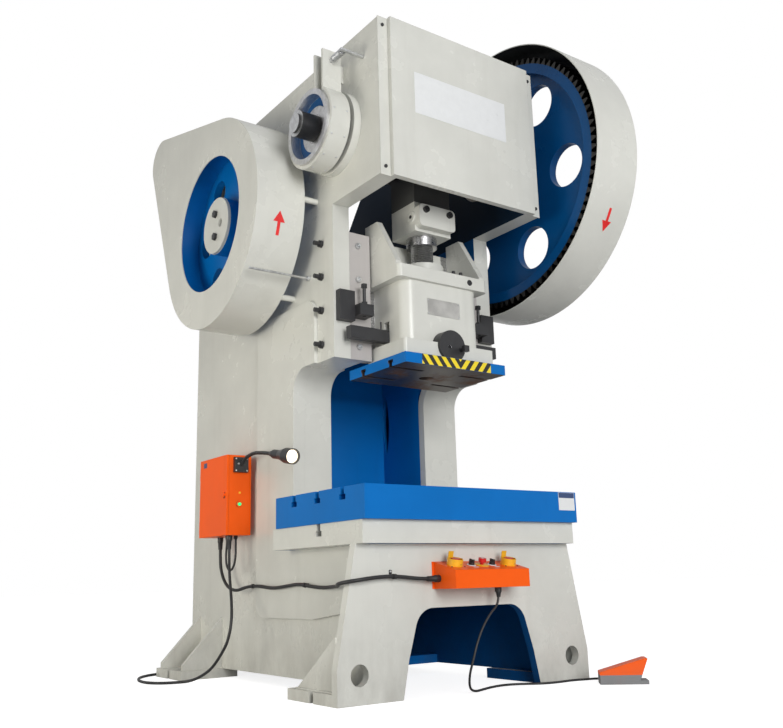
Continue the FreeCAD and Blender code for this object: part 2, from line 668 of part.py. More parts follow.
def plate(axis, span, corners, circles=(), rounds=()):
    """A plate with a drawn outline, padded along an axis between two coordinates.

    corners and circles are in the other two axes' order; rounds are
    (corner index, radius) pairs.
    """
    body = doc.addObject("PartDesign::Body", "Plate")
    sketch = sketch_on(body, axis, (corners,), circles)
    pad = body.newObject("PartDesign::Pad", "Pad")
    pad.Profile = sketch
    pad.Length = float(span[1] - span[0])
    bind(pad, "Length", span[1] - span[0])
    # the XZ plane's normal points to -Y, so that pad grows back from the far side
    start = span[1] if axis == "y" else span[0]
    place(body, *along(axis, start, 0.0, 0.0))
    last = pad
    for index, radius in rounds:
        doc.recompute()
        names = ["Edge%d" % (number + 1) for number, edge in enumerate(last.Shape.Edges)
                 if stands_on(edge, axis, corners[index])]
        fillet = body.newObject("PartDesign::Fillet", "Round")
        fillet.Base = (last, names)
        fillet.Radius = float(radius)
        bind(fillet, "Radius", radius)
        last = fillet
    return body


def stands_on(edge, axis, corner):
    """Whether an edge runs along the axis through the given corner of the outline."""
    if len(edge.Vertexes) != 2:
        return False
    a, b = edge.Vertexes[0].Point, edge.Vertexes[1].Point
    flat = {"x": lambda p: (p.y, p.z), "y": lambda p: (p.x, p.z), "z": lambda p: (p.x, p.y)}[axis]
    near = 0.01
    return all(abs(flat(point)[i] - float(corner[i])) < near for point in (a, b) for i in (0, 1))


def node(name, item):
    item.Label = name
    nodes[name] = item
    return item


def hexagon(axis, span, u, v, across):
    """A hexagon bar: a nut or a bolt head."""
    item = doc.addObject("Part::Prism", "Hexagon")
    item.Polygon = 6
    item.Circumradius = float(across) / math.sqrt(3)
    bind(item, "Circumradius", across / math.sqrt(3) if isinstance(across, Size) else across)
    item.Height = float(span[1] - span[0])
    bind(item, "Height", span[1] - span[0])
    return place(item, *along(axis, span[0], u, v), turn=TURN_TO[axis])


# --------------------------------------------------------------------------
# Places worked out from the driving dimensions
# --------------------------------------------------------------------------
side_in = S.side_half - S.side_thick
cheek_in = side_in - S.cheek_thick
doubler_out = S.side_half + S.doubler_thick
gib_back = S.guide_face + S.gib_thick
flange_high = S.guide_floor + S.flange_thick
flange_back = S.throat_face + S.flange_thick
bolster_top = S.table_high + S.bolster_thick
plate_low = S.skirt_low - S.plate_thick
way_back = gib_back + S.way_deep
pitch_gear = S.tooth_module * S.gear_teeth / 2
pitch_pinion = S.tooth_module * S.pinion_teeth / 2
mesh_distance = pitch_gear + pitch_pinion
drive_back = S.press_axis + mesh_distance * cosine(S.mesh_slope)
drive_high = S.crank_high - mesh_distance * sine(S.mesh_slope)
pin_high = S.crank_high + S.throw
gear_near = S.side_half + S.gear_near
gear_web_near = S.side_half + S.gear_web_near
gear_hub_near = S.side_half + S.gear_hub_near
gear_hub_far = S.side_half + S.gear_hub_far
crank_right = S.side_half + S.crank_right
crank_left = S.side_half + S.crank_left
drive_left = S.side_half + S.drive_left
drive_right = S.side_half + S.drive_right
wheel_left = S.side_half + S.wheel_left
wheel_web_left = S.side_half + S.wheel_web_left
fly_guard_left = S.side_half + S.fly_guard_left
fly_guard_right = S.side_half + S.fly_guard_right
gear_guard_near = S.side_half + S.gear_guard_near
gear_guard_far = S.side_half + S.gear_guard_far
drum_left = S.side_half + S.drum_left
drum_web_left = S.side_half + S.drum_web_left
band_left = S.side_half + S.band_left
band_right = S.side_half + S.band_right
stud_end = S.side_half + S.stud_end
ebox_left = S.side_half + S.ebox_left
ebox_right = S.side_half + S.ebox_right
leg_hole_side = S.leg_foot_half - S.leg_hole_inset
leg_top_half = S.table_half + S.leg_top_over
bolster_half = S.table_half + S.bolster_over
front_gusset_side = S.leg_foot_half - S.front_gusset_inset
rear_foot_half = S.side_half + S.rear_foot_out
cover_half = S.side_half - S.cover_flange
cover_screw_side = S.side_half - S.cover_screw_inset
gib_bolt_side = cheek_in - S.gib_bolt_inset
motor_left = S.side_half - S.motor_inset
fly_guard_radius = S.wheel_radius + S.fly_guard_clear
fly_guard_nose = S.pulley_radius + S.fly_nose_clear
gear_guard_radius = pitch_gear + S.gear_guard_clear
gear_guard_nose = pitch_pinion + S.gear_nose_clear
start_side = ebox_left - S.start_inset
lamp_side = ebox_left - S.lamp_inset
lug_front = S.press_axis - S.lug_front_fore
lug_rear = S.press_axis - S.lug_rear_fore
lug_high = S.crank_high + S.lug_rise
tension_high = S.crank_high + S.tension_rise
tension_front = S.press_axis - S.tension_fore


def gib_bolt_places():
    return [(-gib_bolt_side, high) for high in (S.gib_bolt_low, S.gib_bolt_middle, S.gib_bolt_high)]


def adjuster_heights():
    return [S.adjuster_high - step * S.adjuster_pitch for step in range(4)]


# --------------------------------------------------------------------------
# Frame: two welded sides, throat flanges, liner, rear, roof, table and legs
# --------------------------------------------------------------------------
def left_side():
    """Side plate with its cheek, doubler and way block, bored for both shafts."""
    outer = plate("x", (-S.side_half, -side_in), [
        (0.0, S.head_floor),
        (0.0, S.frame_top),
        (S.slope_start, S.frame_top),
        (S.frame_rear, S.slope_foot),
        (S.frame_rear, S.foot_thick),
        (S.leg_front + S.leg_thick, S.foot_thick),
        (S.leg_front + S.leg_thick, S.table_low),
        (S.table_rear, S.table_low),
        (S.table_rear, S.table_high),
        (S.throat_face, S.table_high),
        (S.throat_face, S.guide_floor),
        (S.guide_face, S.guide_floor),
        (S.guide_face, S.head_floor)], rounds=((10, S.throat_round),))
    cheek = plate("x", (-side_in, -cheek_in), [
        (0.0, S.head_floor),
        (0.0, S.frame_top),
        (S.cheek_rear, S.frame_top),
        (S.cheek_rear, flange_high),
        (gib_back, flange_high),
        (gib_back, S.guide_floor),
        (S.guide_face, S.guide_floor),
        (S.guide_face, S.head_floor)])
    doubler = plate("x", (-doubler_out, -S.side_half), [
        (S.leg_front + S.leg_thick, S.doubler_front_low),
        (S.leg_front + S.leg_thick, S.table_low),
        (S.table_rear, S.table_low),
        (S.table_rear, S.table_high),
        (S.throat_face, S.table_high),
        (S.throat_face, S.guide_floor),
        (S.doubler_step, S.guide_floor),
        (S.doubler_step, S.doubler_high),
        (S.doubler_rear, S.doubler_high),
        (S.doubler_rear, S.doubler_low),
        (S.doubler_turn, S.doubler_low)],
        rounds=((5, S.throat_round), (7, S.doubler_round), (8, S.doubler_round), (9, S.doubler_round)))
    way = plate("z", (flange_high, S.way_high), [
        (-cheek_in, gib_back),
        (-S.way_inner, gib_back),
        (-S.way_inner, way_back - S.way_lip),
        (-S.gib_inner, way_back - S.way_lip),
        (-S.gib_inner, way_back),
        (-cheek_in, way_back)])
    welded = join(outer, cheek, doubler, way)
    crank_bore = rod(S.bearing_radius, "x", (-S.side_half, -cheek_in), S.press_axis, S.crank_high)
    drive_bore = rod(S.housing_bore, "x", (-S.side_half, -side_in), drive_back, drive_high)
    adjusters = [rod(S.adjuster_radius, "x", (-S.side_half, S.screw_bite - S.side_half), S.adjuster_back, z)
                 for z in adjuster_heights()]
    return cut(welded, crank_bore, drive_bore, *adjusters)


def throat_flange():
    """Bent flange, notched beside the way so that the slide's tail passes it."""
    bent = plate("x", (-side_in, -S.flange_reach), [
        (S.throat_face, S.table_high),
        (flange_back, S.table_high),
        (flange_back, flange_high),
        (gib_back, flange_high),
        (gib_back, S.guide_floor),
        (S.throat_face, S.guide_floor)],
        rounds=((2, S.throat_round + S.flange_thick), (5, S.throat_round)))
    notch = box((-S.way_inner, -S.flange_reach), (gib_back, way_back - S.way_lip),
                (S.guide_floor, flange_high))
    return cut(bent, notch)


def throat_liner():
    """Two walls behind the flanges and a back wall, open in front and above."""
    wall_out = S.flange_reach + S.liner_thick
    wall = plate("x", (-wall_out, -S.flange_reach), [
        (flange_back, S.liner_low),
        (S.liner_rear, S.liner_low),
        (S.liner_rear, S.liner_high),
        (way_back, S.liner_high),
        (way_back, flange_high),
        (flange_back, flange_high)],
        rounds=((5, S.throat_round),))
    # two overlapping circles leave a lens
    half_tall = S.slit_tall / 2
    half_wide = S.slit_wide / 2
    lens_radius = (half_tall * half_tall + half_wide * half_wide) / (2 * half_wide)
    middle = S.liner_rear - half_wide - 2
    span = (-wall_out, -S.flange_reach)
    lens = common(rod(lens_radius, "x", span, middle + lens_radius - half_wide, S.slit_height),
                  rod(lens_radius, "x", span, middle - lens_radius + half_wide, S.slit_height))
    left_wall = cut(wall, lens)
    back = box((-wall_out, wall_out), (S.liner_rear, S.liner_rear + S.liner_thick),
               (S.liner_low, S.liner_high))
    return join(left_wall, mirror(left_wall), back)


def rear_plate():
    rise = S.rear_thick * (S.frame_top - S.slope_foot) / (S.frame_rear - S.slope_start)
    front = S.frame_rear - S.rear_thick
    return plate("x", (-side_in, side_in), [
        (front, S.foot_thick),
        (S.frame_rear, S.foot_thick),
        (S.frame_rear, S.slope_foot),
        (front, S.slope_foot + rise)])


def tee_slot(side_from, side_to, back, top, neck, neck_deep, foot, foot_deep):
    """Cutter for a T-slot along X, open at the top face."""
    return together(
        box((side_from, side_to), (back - neck / 2, back + neck / 2), (top - neck_deep - foot_deep, top)),
        box((side_from, side_to), (back - foot / 2, back + foot / 2),
            (top - neck_deep - foot_deep, top - neck_deep)))


def table_plate():
    slab = box((-S.table_half, S.table_half), (S.table_front, S.table_rear), (S.table_low, S.table_high))
    slot = tee_slot(-S.table_half, S.table_half, S.slot_middle, S.table_high,
                    S.slot_neck, S.slot_neck_deep, S.slot_foot, S.slot_foot_deep)
    bore = rod(S.table_bore, "z", (S.table_low, S.table_high), 0.0, S.slot_middle)
    return cut(slab, slot, bore)


def bolster():
    slab = box((-bolster_half, bolster_half), (0.0, S.bolster_deep), (S.table_high, bolster_top))
    slots = [tee_slot(-bolster_half, bolster_half, S.slot_middle + step * S.slot_pitch, bolster_top,
                      S.slot_neck, S.slot_neck_deep, S.slot_foot, S.slot_foot_deep)
             for step in (-1, 0, 1)]
    bore = rod(S.bolster_bore, "z", (S.table_high, bolster_top), 0.0, S.slot_middle)
    return cut(slab, bore, *slots)


def foot_slot(edge, inner, back):
    """Cutter for a foundation slot that opens on a foot's outer edge."""
    return together(
        box((edge, inner), (back - S.foot_slot_wide / 2, back + S.foot_slot_wide / 2), (0.0, S.foot_thick)),
        rod(S.foot_slot_wide / 2, "z", (0.0, S.foot_thick), inner, back))


def front_legs():
    """Leg plate with its arch and lifting holes, and the two feet welded behind it."""
    leg_back = S.leg_front + S.leg_thick
    sheet = plate("y", (S.leg_front, leg_back), [
        (leg_top_half, S.table_low),
        (S.leg_foot_half, S.leg_bend),
        (S.leg_foot_half, 0.0),
        (S.arch_foot_half, 0.0),
        (S.arch_bend_half, S.arch_bend),
        (S.arch_top_half, S.arch_top),
        (-S.arch_top_half, S.arch_top),
        (-S.arch_bend_half, S.arch_bend),
        (-S.arch_foot_half, 0.0),
        (-S.leg_foot_half, 0.0),
        (-S.leg_foot_half, S.leg_bend),
        (-leg_top_half, S.table_low)],
        circles=((-leg_hole_side, S.leg_hole_high, S.leg_hole),
                 (leg_hole_side, S.leg_hole_high, S.leg_hole)),
        rounds=((5, S.arch_round), (6, S.arch_round)))
    pad = box((-S.leg_foot_half, -S.foot_inner), (leg_back, S.front_foot_rear), (0.0, S.foot_thick))
    foot = cut(pad, foot_slot(-S.leg_foot_half, S.foot_slot_deep - S.leg_foot_half, S.front_slot_back))
    gusset = plate("x", (-front_gusset_side - S.gusset_thick, -front_gusset_side), [
        (leg_back, S.foot_thick),
        (leg_back, S.front_gusset_top),
        (S.front_gusset_rear, S.foot_thick)])
    return join(sheet, foot, gusset, mirror(foot), mirror(gusset))


def rear_foot():
    pad = box((-rear_foot_half, -S.foot_inner), (S.rear_foot_front, S.rear_foot_rear), (0.0, S.foot_thick))
    middle = (S.rear_foot_front + S.rear_foot_rear) / 2
    foot = cut(pad, foot_slot(-rear_foot_half, S.foot_slot_deep - rear_foot_half, middle))
    gussets = [plate("y", (front, front + S.gusset_thick), [
        (-S.side_half, S.foot_thick),
        (-S.side_half, S.rear_gusset_top),
        (S.rear_gusset_inset - rear_foot_half, S.rear_gusset_lip),
        (S.rear_gusset_inset - rear_foot_half, S.foot_thick)])
        for front in (S.rear_foot_front + S.rear_gusset_inset,
                      S.rear_foot_rear - S.rear_gusset_inset - S.gusset_thick)]
    return join(foot, *gussets)


left_side_plate = node("left_side_plate", left_side())
node("right_side_plate", mirror(left_side_plate))
left_flange = node("left_throat_flange", throat_flange())
node("right_throat_flange", mirror(left_flange))
node("throat_liner", throat_liner())
node("rear_plate", rear_plate())
node("roof_plate", box((-cheek_in, cheek_in), (0.0, S.cheek_rear), (S.frame_top - S.roof_thick, S.frame_top)))
node("table_plate", table_plate())
node("bolster", bolster())
node("front_legs", front_legs())
node("rear_feet", both_sides(rear_foot()))
node("base_tie_bar", box((-side_in, side_in), (S.tie_front, S.tie_front + S.tie_deep),
                         (S.foot_thick, S.foot_thick + S.tie_tall)))


# --------------------------------------------------------------------------
# Turned pieces, sheet cases and toothed rims
# --------------------------------------------------------------------------
def turned(corners, back, high):
    """A solid turned about an X axis; corners are (x, radius) pairs."""
    body = doc.addObject("PartDesign::Body", "Turning")
    sketch = sketch_on(body, "y", (corners,))
    feature = body.newObject("PartDesign::Revolution", "Revolution")
    feature.Profile = sketch
    feature.ReferenceAxis = (sketch, ["H_Axis"])
    feature.Angle = 360.0
    return place(body, 0.0, back, high)


def feature(name, shape):
    item = doc.addObject("Part::Feature", name)
    item.Shape = shape
    return item


def belt_line(span, near, near_radius, far, far_radius):
    """A solid round two circles and their outer tangents; near and far are (y, z)."""
    gap = math.hypot(far[0] - near[0], far[1] - near[1])
    lean = math.atan2(far[1] - near[1], far[0] - near[0])
    spread = math.acos((near_radius - far_radius) / gap)

    def on_circle(centre, radius, angle):
        return Vector(float(span[0]), centre[0] + radius * math.cos(angle),
                      centre[1] + radius * math.sin(angle))

    near_a = on_circle(near, near_radius, lean + spread)
    near_b = on_circle(near, near_radius, lean - spread)
    far_a = on_circle(far, far_radius, lean + spread)
    far_b = on_circle(far, far_radius, lean - spread)
    wire = Part.Wire([
        Part.Arc(near_a, on_circle(near, near_radius, lean + math.pi), near_b).toShape(),
        Part.LineSegment(near_b, far_b).toShape(),
        Part.Arc(far_b, on_circle(far, far_radius, lean), far_a).toShape(),
        Part.LineSegment(far_a, near_a).toShape()])
    return Part.Face(wire).extrude(Vector(float(span[1] - span[0]), 0, 0))


def tooth_flank(radius):
    """Half the thickness of a rack tooth of this module, `radius` beyond the pitch line."""
    return S.tooth_module * (math.pi / 4) * S.tooth_share - radius * math.tan(math.radians(S.pressure_angle))


def toothed(teeth, span, back, high, first):
    """A toothed blank along X whose first tooth points at the angle `first`, in degrees."""
    pitch_radius = S.tooth_module * teeth / 2
    tip, root = S.tooth_tip * S.tooth_module, -S.tooth_root * S.tooth_module
    corners = []
    for number in range(int(teeth)):
        middle = math.radians(first) + 2 * math.pi * number / teeth
        for height, side in ((root, -1), (tip, -1), (tip, 1), (root, 1)):
            radius = pitch_radius + height
            angle = middle + side * tooth_flank(height) / radius
            corners.append(Vector(float(span[0]), back + radius * math.cos(angle),
                                  high + radius * math.sin(angle)))
    face = Part.Face(Part.makePolygon(corners + corners[:1]))
    return face.extrude(Vector(float(span[1] - span[0]), 0, 0))


def on_ring(radius, degrees, back, high):
    """The (y, z) place on a ring about an X axis."""
    return back + radius * cosine(degrees), high + radius * sine(degrees)


def grooved_rim(right, radius, inner):
    """Corners of a rim section with V-grooves, from its right face to its left."""
    corners = [(right, inner), (right, radius)]
    middle = -wheel_left + S.wheel_wide / 2
    count = int(S.groove_count)
    half = S.groove_wide / 2
    floor = S.groove_wide / 4
    for index in range(count):
        centre = middle + ((count - 1) / 2 - index) * S.groove_pitch
        corners += [(centre + half, radius), (centre + floor, radius - S.groove_deep),
                    (centre - floor, radius - S.groove_deep), (centre - half, radius)]
    return corners


# --------------------------------------------------------------------------
# Gibs, slide and what it carries
# --------------------------------------------------------------------------
tail_front = gib_back + S.way_gap
tail_back = way_back - S.way_lip - S.way_gap
tail_half = S.way_inner - S.way_gap


def slide():
    """Cast slide with the two guide rails screwed to the back of it."""
    body = plate("z", (S.skirt_low, S.slide_top), [
        (-S.slide_half, S.slide_front), (S.slide_half, S.slide_front),
        (S.slide_half, tail_front), (-S.slide_half, tail_front)],
        rounds=((0, S.slide_round), (1, S.slide_round)))
    skirt = plate("z", (S.skirt_low, S.skirt_high), [
        (-S.skirt_half, S.skirt_front), (S.skirt_half, S.skirt_front),
        (S.skirt_half, tail_front), (-S.skirt_half, tail_front)],
        rounds=((0, S.skirt_round), (1, S.skirt_round)))
    band = plate("z", (S.band_low, S.slide_top), [
        (-S.wing_half, S.band_front), (S.wing_half, S.band_front),
        (S.wing_half, tail_front), (-S.wing_half, tail_front)],
        rounds=((0, S.band_round), (1, S.band_round)))
    wing = plate("x", (-S.wing_half, S.wing_thick - S.wing_half), [
        (S.band_front + S.band_round, S.band_low), (S.band_front + S.band_round, S.slide_top + S.wing_toe),
        (S.wing_flat, S.wing_high), (tail_front, S.wing_high), (tail_front, S.band_low)])
    tail = box((-S.tail_web, S.tail_web), (tail_front, tail_back), (S.tail_low, S.tail_high))
    rail = box((-tail_half, -S.tail_web), (tail_front, tail_back), (S.tail_low, S.tail_high))
    cap = rod(S.cap_radius, "z", (S.slide_top, S.cap_high), 0.0, S.press_axis)
    casting = join(body, skirt, band, wing, mirror(wing), tail, cap)
    socket = ball(S.ball_radius + S.screw_fit, 0.0, S.press_axis, S.ball_high)
    throat = rod(S.screw_radius + S.socket_clear, "z", (S.ball_high, S.cap_high), 0.0, S.press_axis)
    shank = rod(S.shank_bore, "z", (S.skirt_low, S.bar_low), 0.0, S.press_axis)
    bar_way = box((-S.slide_half, S.slide_half),
                  (S.bar_front - S.bar_gap, S.bar_front + S.bar_wide + S.bar_gap),
                  (S.bar_low - S.bar_gap, S.bar_low + S.bar_tall + S.bar_lift + S.bar_gap))
    clamp_seat = rod(S.clamp_radius + S.clamp_gap, "y",
                     (S.skirt_front, S.slide_front + S.clamp_deep), 0.0, S.clamp_high)
    hollow = box((-S.tail_web, S.tail_web), (tail_front + S.wing_thick, tail_back),
                 (S.slide_top, S.tail_high))
    return group(cut(casting, together(socket, throat), shank, bar_way, clamp_seat, hollow),
                 rail, mirror(rail))


def under_slot(side_from, side_to, back):
    """Cutter for a T-slot along X, open at the underside of the slide plate."""
    neck, foot = S.plate_slot_neck / 2, S.plate_slot_foot / 2
    third = S.plate_thick / 3
    return together(
        box((side_from, side_to), (back - neck, back + neck), (plate_low, plate_low + 2 * third)),
        box((side_from, side_to), (back - foot, back + foot), (plate_low + third, plate_low + 2 * third)))


def slide_plate():
    slab = box((-S.plate_half, S.plate_half), (S.plate_front, S.plate_front + S.plate_deep),
               (plate_low, S.skirt_low))
    slots = []
    for back in (S.plate_slot_front, S.plate_slot_rear):
        slots.append(under_slot(-S.plate_half, -S.plate_slot_end, back))
        slots.append(under_slot(S.plate_slot_end, S.plate_half, back))
    bore = rod(S.shank_bore, "z", (plate_low, S.skirt_low), 0.0, S.press_axis)
    return cut(slab, bore, *slots)


def shank_clamp():
    """Round clamp pressed on the die shank by a square-headed bolt."""
    span = (S.skirt_front - S.clamp_proud, S.slide_front + S.clamp_deep)
    front, neck, head = span[0], S.clamp_bolt_neck, S.clamp_bolt_head
    trim = box((-S.clamp_radius, S.clamp_radius), span,
               (S.clamp_high - S.clamp_radius - S.clamp_gap, S.skirt_low + S.clamp_gap / 2))
    blind = rod(S.clamp_bore, "y", (front, front + S.clamp_bore_deep), -2 * S.clamp_bore,
                S.clamp_high - S.clamp_bore * 2 / 3)
    disc = cut(rod(S.clamp_radius, "y", span, 0.0, S.clamp_high), trim, blind)
    shank = rod(S.clamp_bolt, "y", (front - neck, front), S.clamp_bolt_side, S.clamp_high - head / 2)
    return join(disc, shank,
                box((S.clamp_bolt_side - head / 2, S.clamp_bolt_side + head / 2),
                    (front - 2 * neck, front - neck), (S.clamp_high - head, S.clamp_high)))


def knockout_bar():
    top = S.bar_low + S.bar_tall
    bar = box((-S.bar_half, S.bar_half), (S.bar_front, S.bar_front + S.bar_wide), (S.bar_low, top))
    pin = rod(S.bar_pin, "z", (top, top + S.bar_pin_tall), -S.slide_half - S.bar_pin_out,
              S.bar_front + S.bar_wide / 2)
    return join(bar, pin, mirror(pin))


def stop_blocks():
    """Blocks on the guides whose bolts stop the knock-out bar as the slide rises."""
    front, inner = S.guide_face - S.stop_deep, S.stop_over - cheek_in
    tip = -S.wing_half - S.stop_arm_clear
    block = box((S.stop_inset - S.side_half, inner), (front, S.guide_face), (S.stop_low, S.stop_high))
    arm = box((inner, tip), (front - S.stop_reach, S.guide_face), (S.stop_arm_low, S.stop_arm_high))
    at = ((inner + tip) / 2, S.bar_front + S.bar_wide / 2)
    top = S.stop_arm_high + S.stop_bolt_rise
    hole = rod(S.stop_bolt_radius, "z", (S.stop_arm_low, S.stop_arm_high), *at)
    bolt = join(rod(S.stop_bolt_radius, "z", (S.stop_arm_low + S.stop_bolt_radius / 2, top), *at),
                hexagon("z", (top, top + S.stop_head), *at, S.stop_across),
                hexagon("z", (S.stop_arm_high, S.stop_arm_high + S.stop_nut), *at, S.stop_across))
    carrier = cut(join(block, arm), hole)
    return group(carrier, mirror(carrier), bolt, mirror(bolt))


def gib():
    bar = box((-cheek_in, -S.gib_inner), (S.guide_face, gib_back), (S.guide_floor, S.gib_high))
    holes = [rod(S.gib_shank, "y", (S.guide_face, S.guide_face + S.screw_bite), x, z)
             for x, z in gib_bolt_places()]
    return cut(bar, *holes)


node("gibs", both_sides(gib()))
node("slide", slide())
node("slide_plate", slide_plate())
node("shank_clamp", shank_clamp())
node("knockout_bar", knockout_bar())
node("stop_blocks", stop_blocks())


# --------------------------------------------------------------------------
# Crankshaft, connecting rod and adjusting screw
# --------------------------------------------------------------------------
def crankshaft():
    web_end = S.pin_half + S.web_thick
    tail_start = S.side_half + S.bearing_proud
    eccentric = rod(S.pin_radius, "x", (-S.pin_half, S.pin_half), S.press_axis, pin_high)
    webs = []
    for low in (-web_end, S.pin_half):
        span = (low, low + S.web_thick)
        webs.append(rod(S.pin_radius, "x", span, S.press_axis, pin_high))
        webs.append(rod(S.pin_radius, "x", span, S.press_axis, S.crank_high))
        webs.append(box(span, (S.press_axis - S.pin_radius, S.press_axis + S.pin_radius),
                        (S.crank_high, pin_high)))
    return join(eccentric, *webs,
                rod(S.journal, "x", (web_end, crank_right), S.press_axis, S.crank_high),
                rod(S.journal, "x", (-tail_start, -web_end), S.press_axis, S.crank_high),
                rod(S.crank_tail, "x", (-crank_left, -tail_start), S.press_axis, S.crank_high))


def crank_bearings():
    bore = S.journal + S.journal_fit
    bush = turned([(-S.side_half - S.bearing_proud, bore), (-S.side_half - S.bearing_proud, S.bearing_flange),
                   (-S.side_half, S.bearing_flange), (-S.side_half, S.bearing_radius),
                   (-cheek_in, S.bearing_radius), (-cheek_in, bore)], S.press_axis, S.crank_high)
    return both_sides(bush)


def rod_eye():
    """The eye of the rod, whole, before it is parted at the crank pin's centre."""
    span = (-S.rod_half, S.rod_half)
    ear_span = (pin_high - S.ear_half, pin_high + S.ear_half)
    front, rear = S.press_axis - S.rod_eye_front, S.press_axis + S.eye_shift + S.rod_eye_back
    blank = join(
        rod(S.rod_eye_front, "x", span, S.press_axis, pin_high),
        rod(S.rod_eye_back, "x", span, S.press_axis + S.eye_shift, pin_high),
        box(span, (front - S.ear_out, front + S.ear_in), ear_span),
        box(span, (rear - S.ear_in, rear + S.ear_out), ear_span))
    bore = together(rod(S.pin_radius + S.journal_fit, "x", span, S.press_axis, pin_high),
                    rod(S.eye_clear, "x", span, S.press_axis + S.eye_shift, pin_high))
    return cut(blank, bore)


def beyond_pin(low, high):
    """A cutter wider than the rod's eye, between two heights."""
    far = S.rod_eye_back + S.eye_shift + 2 * S.ear_out
    return box((-2 * S.rod_half, 2 * S.rod_half), (S.press_axis - far, S.press_axis + far),
               (pin_high + low * far, pin_high + high * far))


def cap_bolt_places():
    front = S.press_axis - S.rod_eye_front - S.cap_bolt_out
    rear = S.press_axis + S.eye_shift + S.rod_eye_back + S.cap_bolt_out
    return [(side * S.rod_half / 2, back) for side in (-1, 1) for back in (front, rear)]


def cap_bolt_holes(low, high):
    return [rod(S.cap_bolt, "z", (pin_high + low * S.ear_half, pin_high + high * S.ear_half), x, back)
            for x, back in cap_bolt_places()]


def connecting_rod():
    span = (-S.rod_half, S.rod_half)
    lower_eye = cut(rod_eye(), beyond_pin(0, 1))
    shank = cut(box(span, (S.press_axis - S.rod_deep, S.press_axis + S.rod_deep),
                    (S.rod_low, pin_high - S.eye_clear)),
                rod(S.eye_clear, "x", span, S.press_axis + S.eye_shift, pin_high))
    boss = plate("y", (boss_front, S.press_axis - S.rod_deep), [
        (-S.rod_half, S.clamp_boss_low), (S.rod_half, S.clamp_boss_low),
        (S.rod_half, S.clamp_boss_high), (-S.rod_half, S.clamp_boss_high)],
        rounds=[(corner, S.boss_round) for corner in range(4)])
    seats = [rod(S.rod_clamp_screw, "y", (boss_front, boss_front + S.rod_clamp_deep),
                 side * S.rod_clamp_side, rod_clamp_high) for side in (-1, 1)]
    bore = rod(S.screw_radius + S.screw_fit, "z", (S.rod_low, S.screw_top + S.die_travel),
               0.0, S.press_axis)
    return cut(join(lower_eye, shank, boss), bore, *cap_bolt_holes(-1, 0), *seats)


def rod_cap():
    return cut(rod_eye(), beyond_pin(-1, 0), *cap_bolt_holes(0, 1))


def rod_screws():
    """Bolts through the ears, and the two screws that clamp the adjusting screw."""
    low, high, head = pin_high - S.ear_half, pin_high + S.ear_half, S.rod_clamp_head
    bolts = [join(rod(S.cap_bolt, "z", (low, high), x, back),
                  hexagon("z", (high, high + S.cap_nut_tall), x, back, S.cap_nut),
                  hexagon("z", (low - S.cap_nut_tall, low), x, back, S.cap_nut))
             for x, back in cap_bolt_places()]
    clamps = []
    for at in ((-S.rod_clamp_side, rod_clamp_high), (S.rod_clamp_side, rod_clamp_high)):
        shank = rod(S.rod_clamp_screw, "y", (boss_front, boss_front + S.rod_clamp_deep), *at)
        cap = rod(1.6 * S.rod_clamp_screw, "y", (boss_front - head, boss_front), *at)
        key = hexagon("y", (boss_front - head, boss_front - head / 2), *at, head)
        clamps.append(join(shank, cut(cap, key)))
    return group(*bolts, *clamps)


def lock_nut():
    span = (S.rod_low - S.nut_thick, S.rod_low)
    ring = cut(rod(S.nut_radius, "z", span, 0.0, S.press_axis),
               rod(S.screw_radius + S.screw_fit, "z", span, 0.0, S.press_axis))
    notches = []
    for quarter in range(4):
        notch = doc.addObject("Part::Box", "Notch")
        for prop, value in (("Length", S.nut_notch_deep * 2), ("Width", S.nut_notch),
                            ("Height", S.nut_thick)):
            setattr(notch, prop, float(value))
            bind(notch, prop, value)
        turn = Rotation(Vector(0, 0, 1), 45 + 90 * quarter)
        start = turn.multVec(Vector(S.nut_radius - S.nut_notch_deep, -S.nut_notch / 2, 0))
        notches.append(place(notch, start.x, S.press_axis + start.y, span[0], turn=turn))
    return cut(ring, *notches)


boss_front = S.press_axis - S.rod_deep - S.clamp_boss_proud
rod_clamp_high = (S.clamp_boss_low + S.clamp_boss_high) / 2 + S.rod_clamp_rise
node("crankshaft", crankshaft())
node("crank_bearings", crank_bearings())
node("connecting_rod", connecting_rod())
node("rod_cap", rod_cap())
node("rod_screws", rod_screws())
node("lock_nut", lock_nut())
node("adjusting_screw", join(
    ball(S.ball_radius, 0.0, S.press_axis, S.ball_high),
    rod(S.screw_radius, "z", (S.ball_high, S.screw_top), 0.0, S.press_axis)))


# --------------------------------------------------------------------------
# Gear pair, drive shaft and flywheel
# --------------------------------------------------------------------------
def big_gear():
    span = (gear_near, gear_near + S.gear_wide)
    half_pitch = 180.0 / S.gear_teeth
    teeth = feature("Teeth", toothed(S.gear_teeth, span, S.press_axis, S.crank_high,
                                     half_pitch - S.mesh_slope))
    inside = pitch_gear - S.tooth_root * S.tooth_module - S.gear_rim
    web_far = gear_web_near + S.gear_web
    # hollows on both faces leave the rim and the web
    hollows = [rod(inside, "x", (gear_near, gear_web_near), S.press_axis, S.crank_high),
               rod(inside, "x", (web_far, gear_near + S.gear_wide), S.press_axis, S.crank_high)]
    holes = []
    for index in range(6):
        back, high = on_ring(S.gear_hole_ring, 180 + S.gear_hole_turn + 60 * index,
                             S.press_axis, S.crank_high)
        holes.append(rod(S.gear_hole, "x", (gear_web_near, web_far), back, high))
    wheel = cut(teeth, *hollows, *holes)
    hub = rod(S.gear_hub, "x", (gear_hub_near, gear_hub_far), S.press_axis, S.crank_high)
    bore = rod(S.journal + S.journal_fit, "x", (gear_hub_near, gear_hub_far), S.press_axis, S.crank_high)
    return cut(join(wheel, hub), bore)


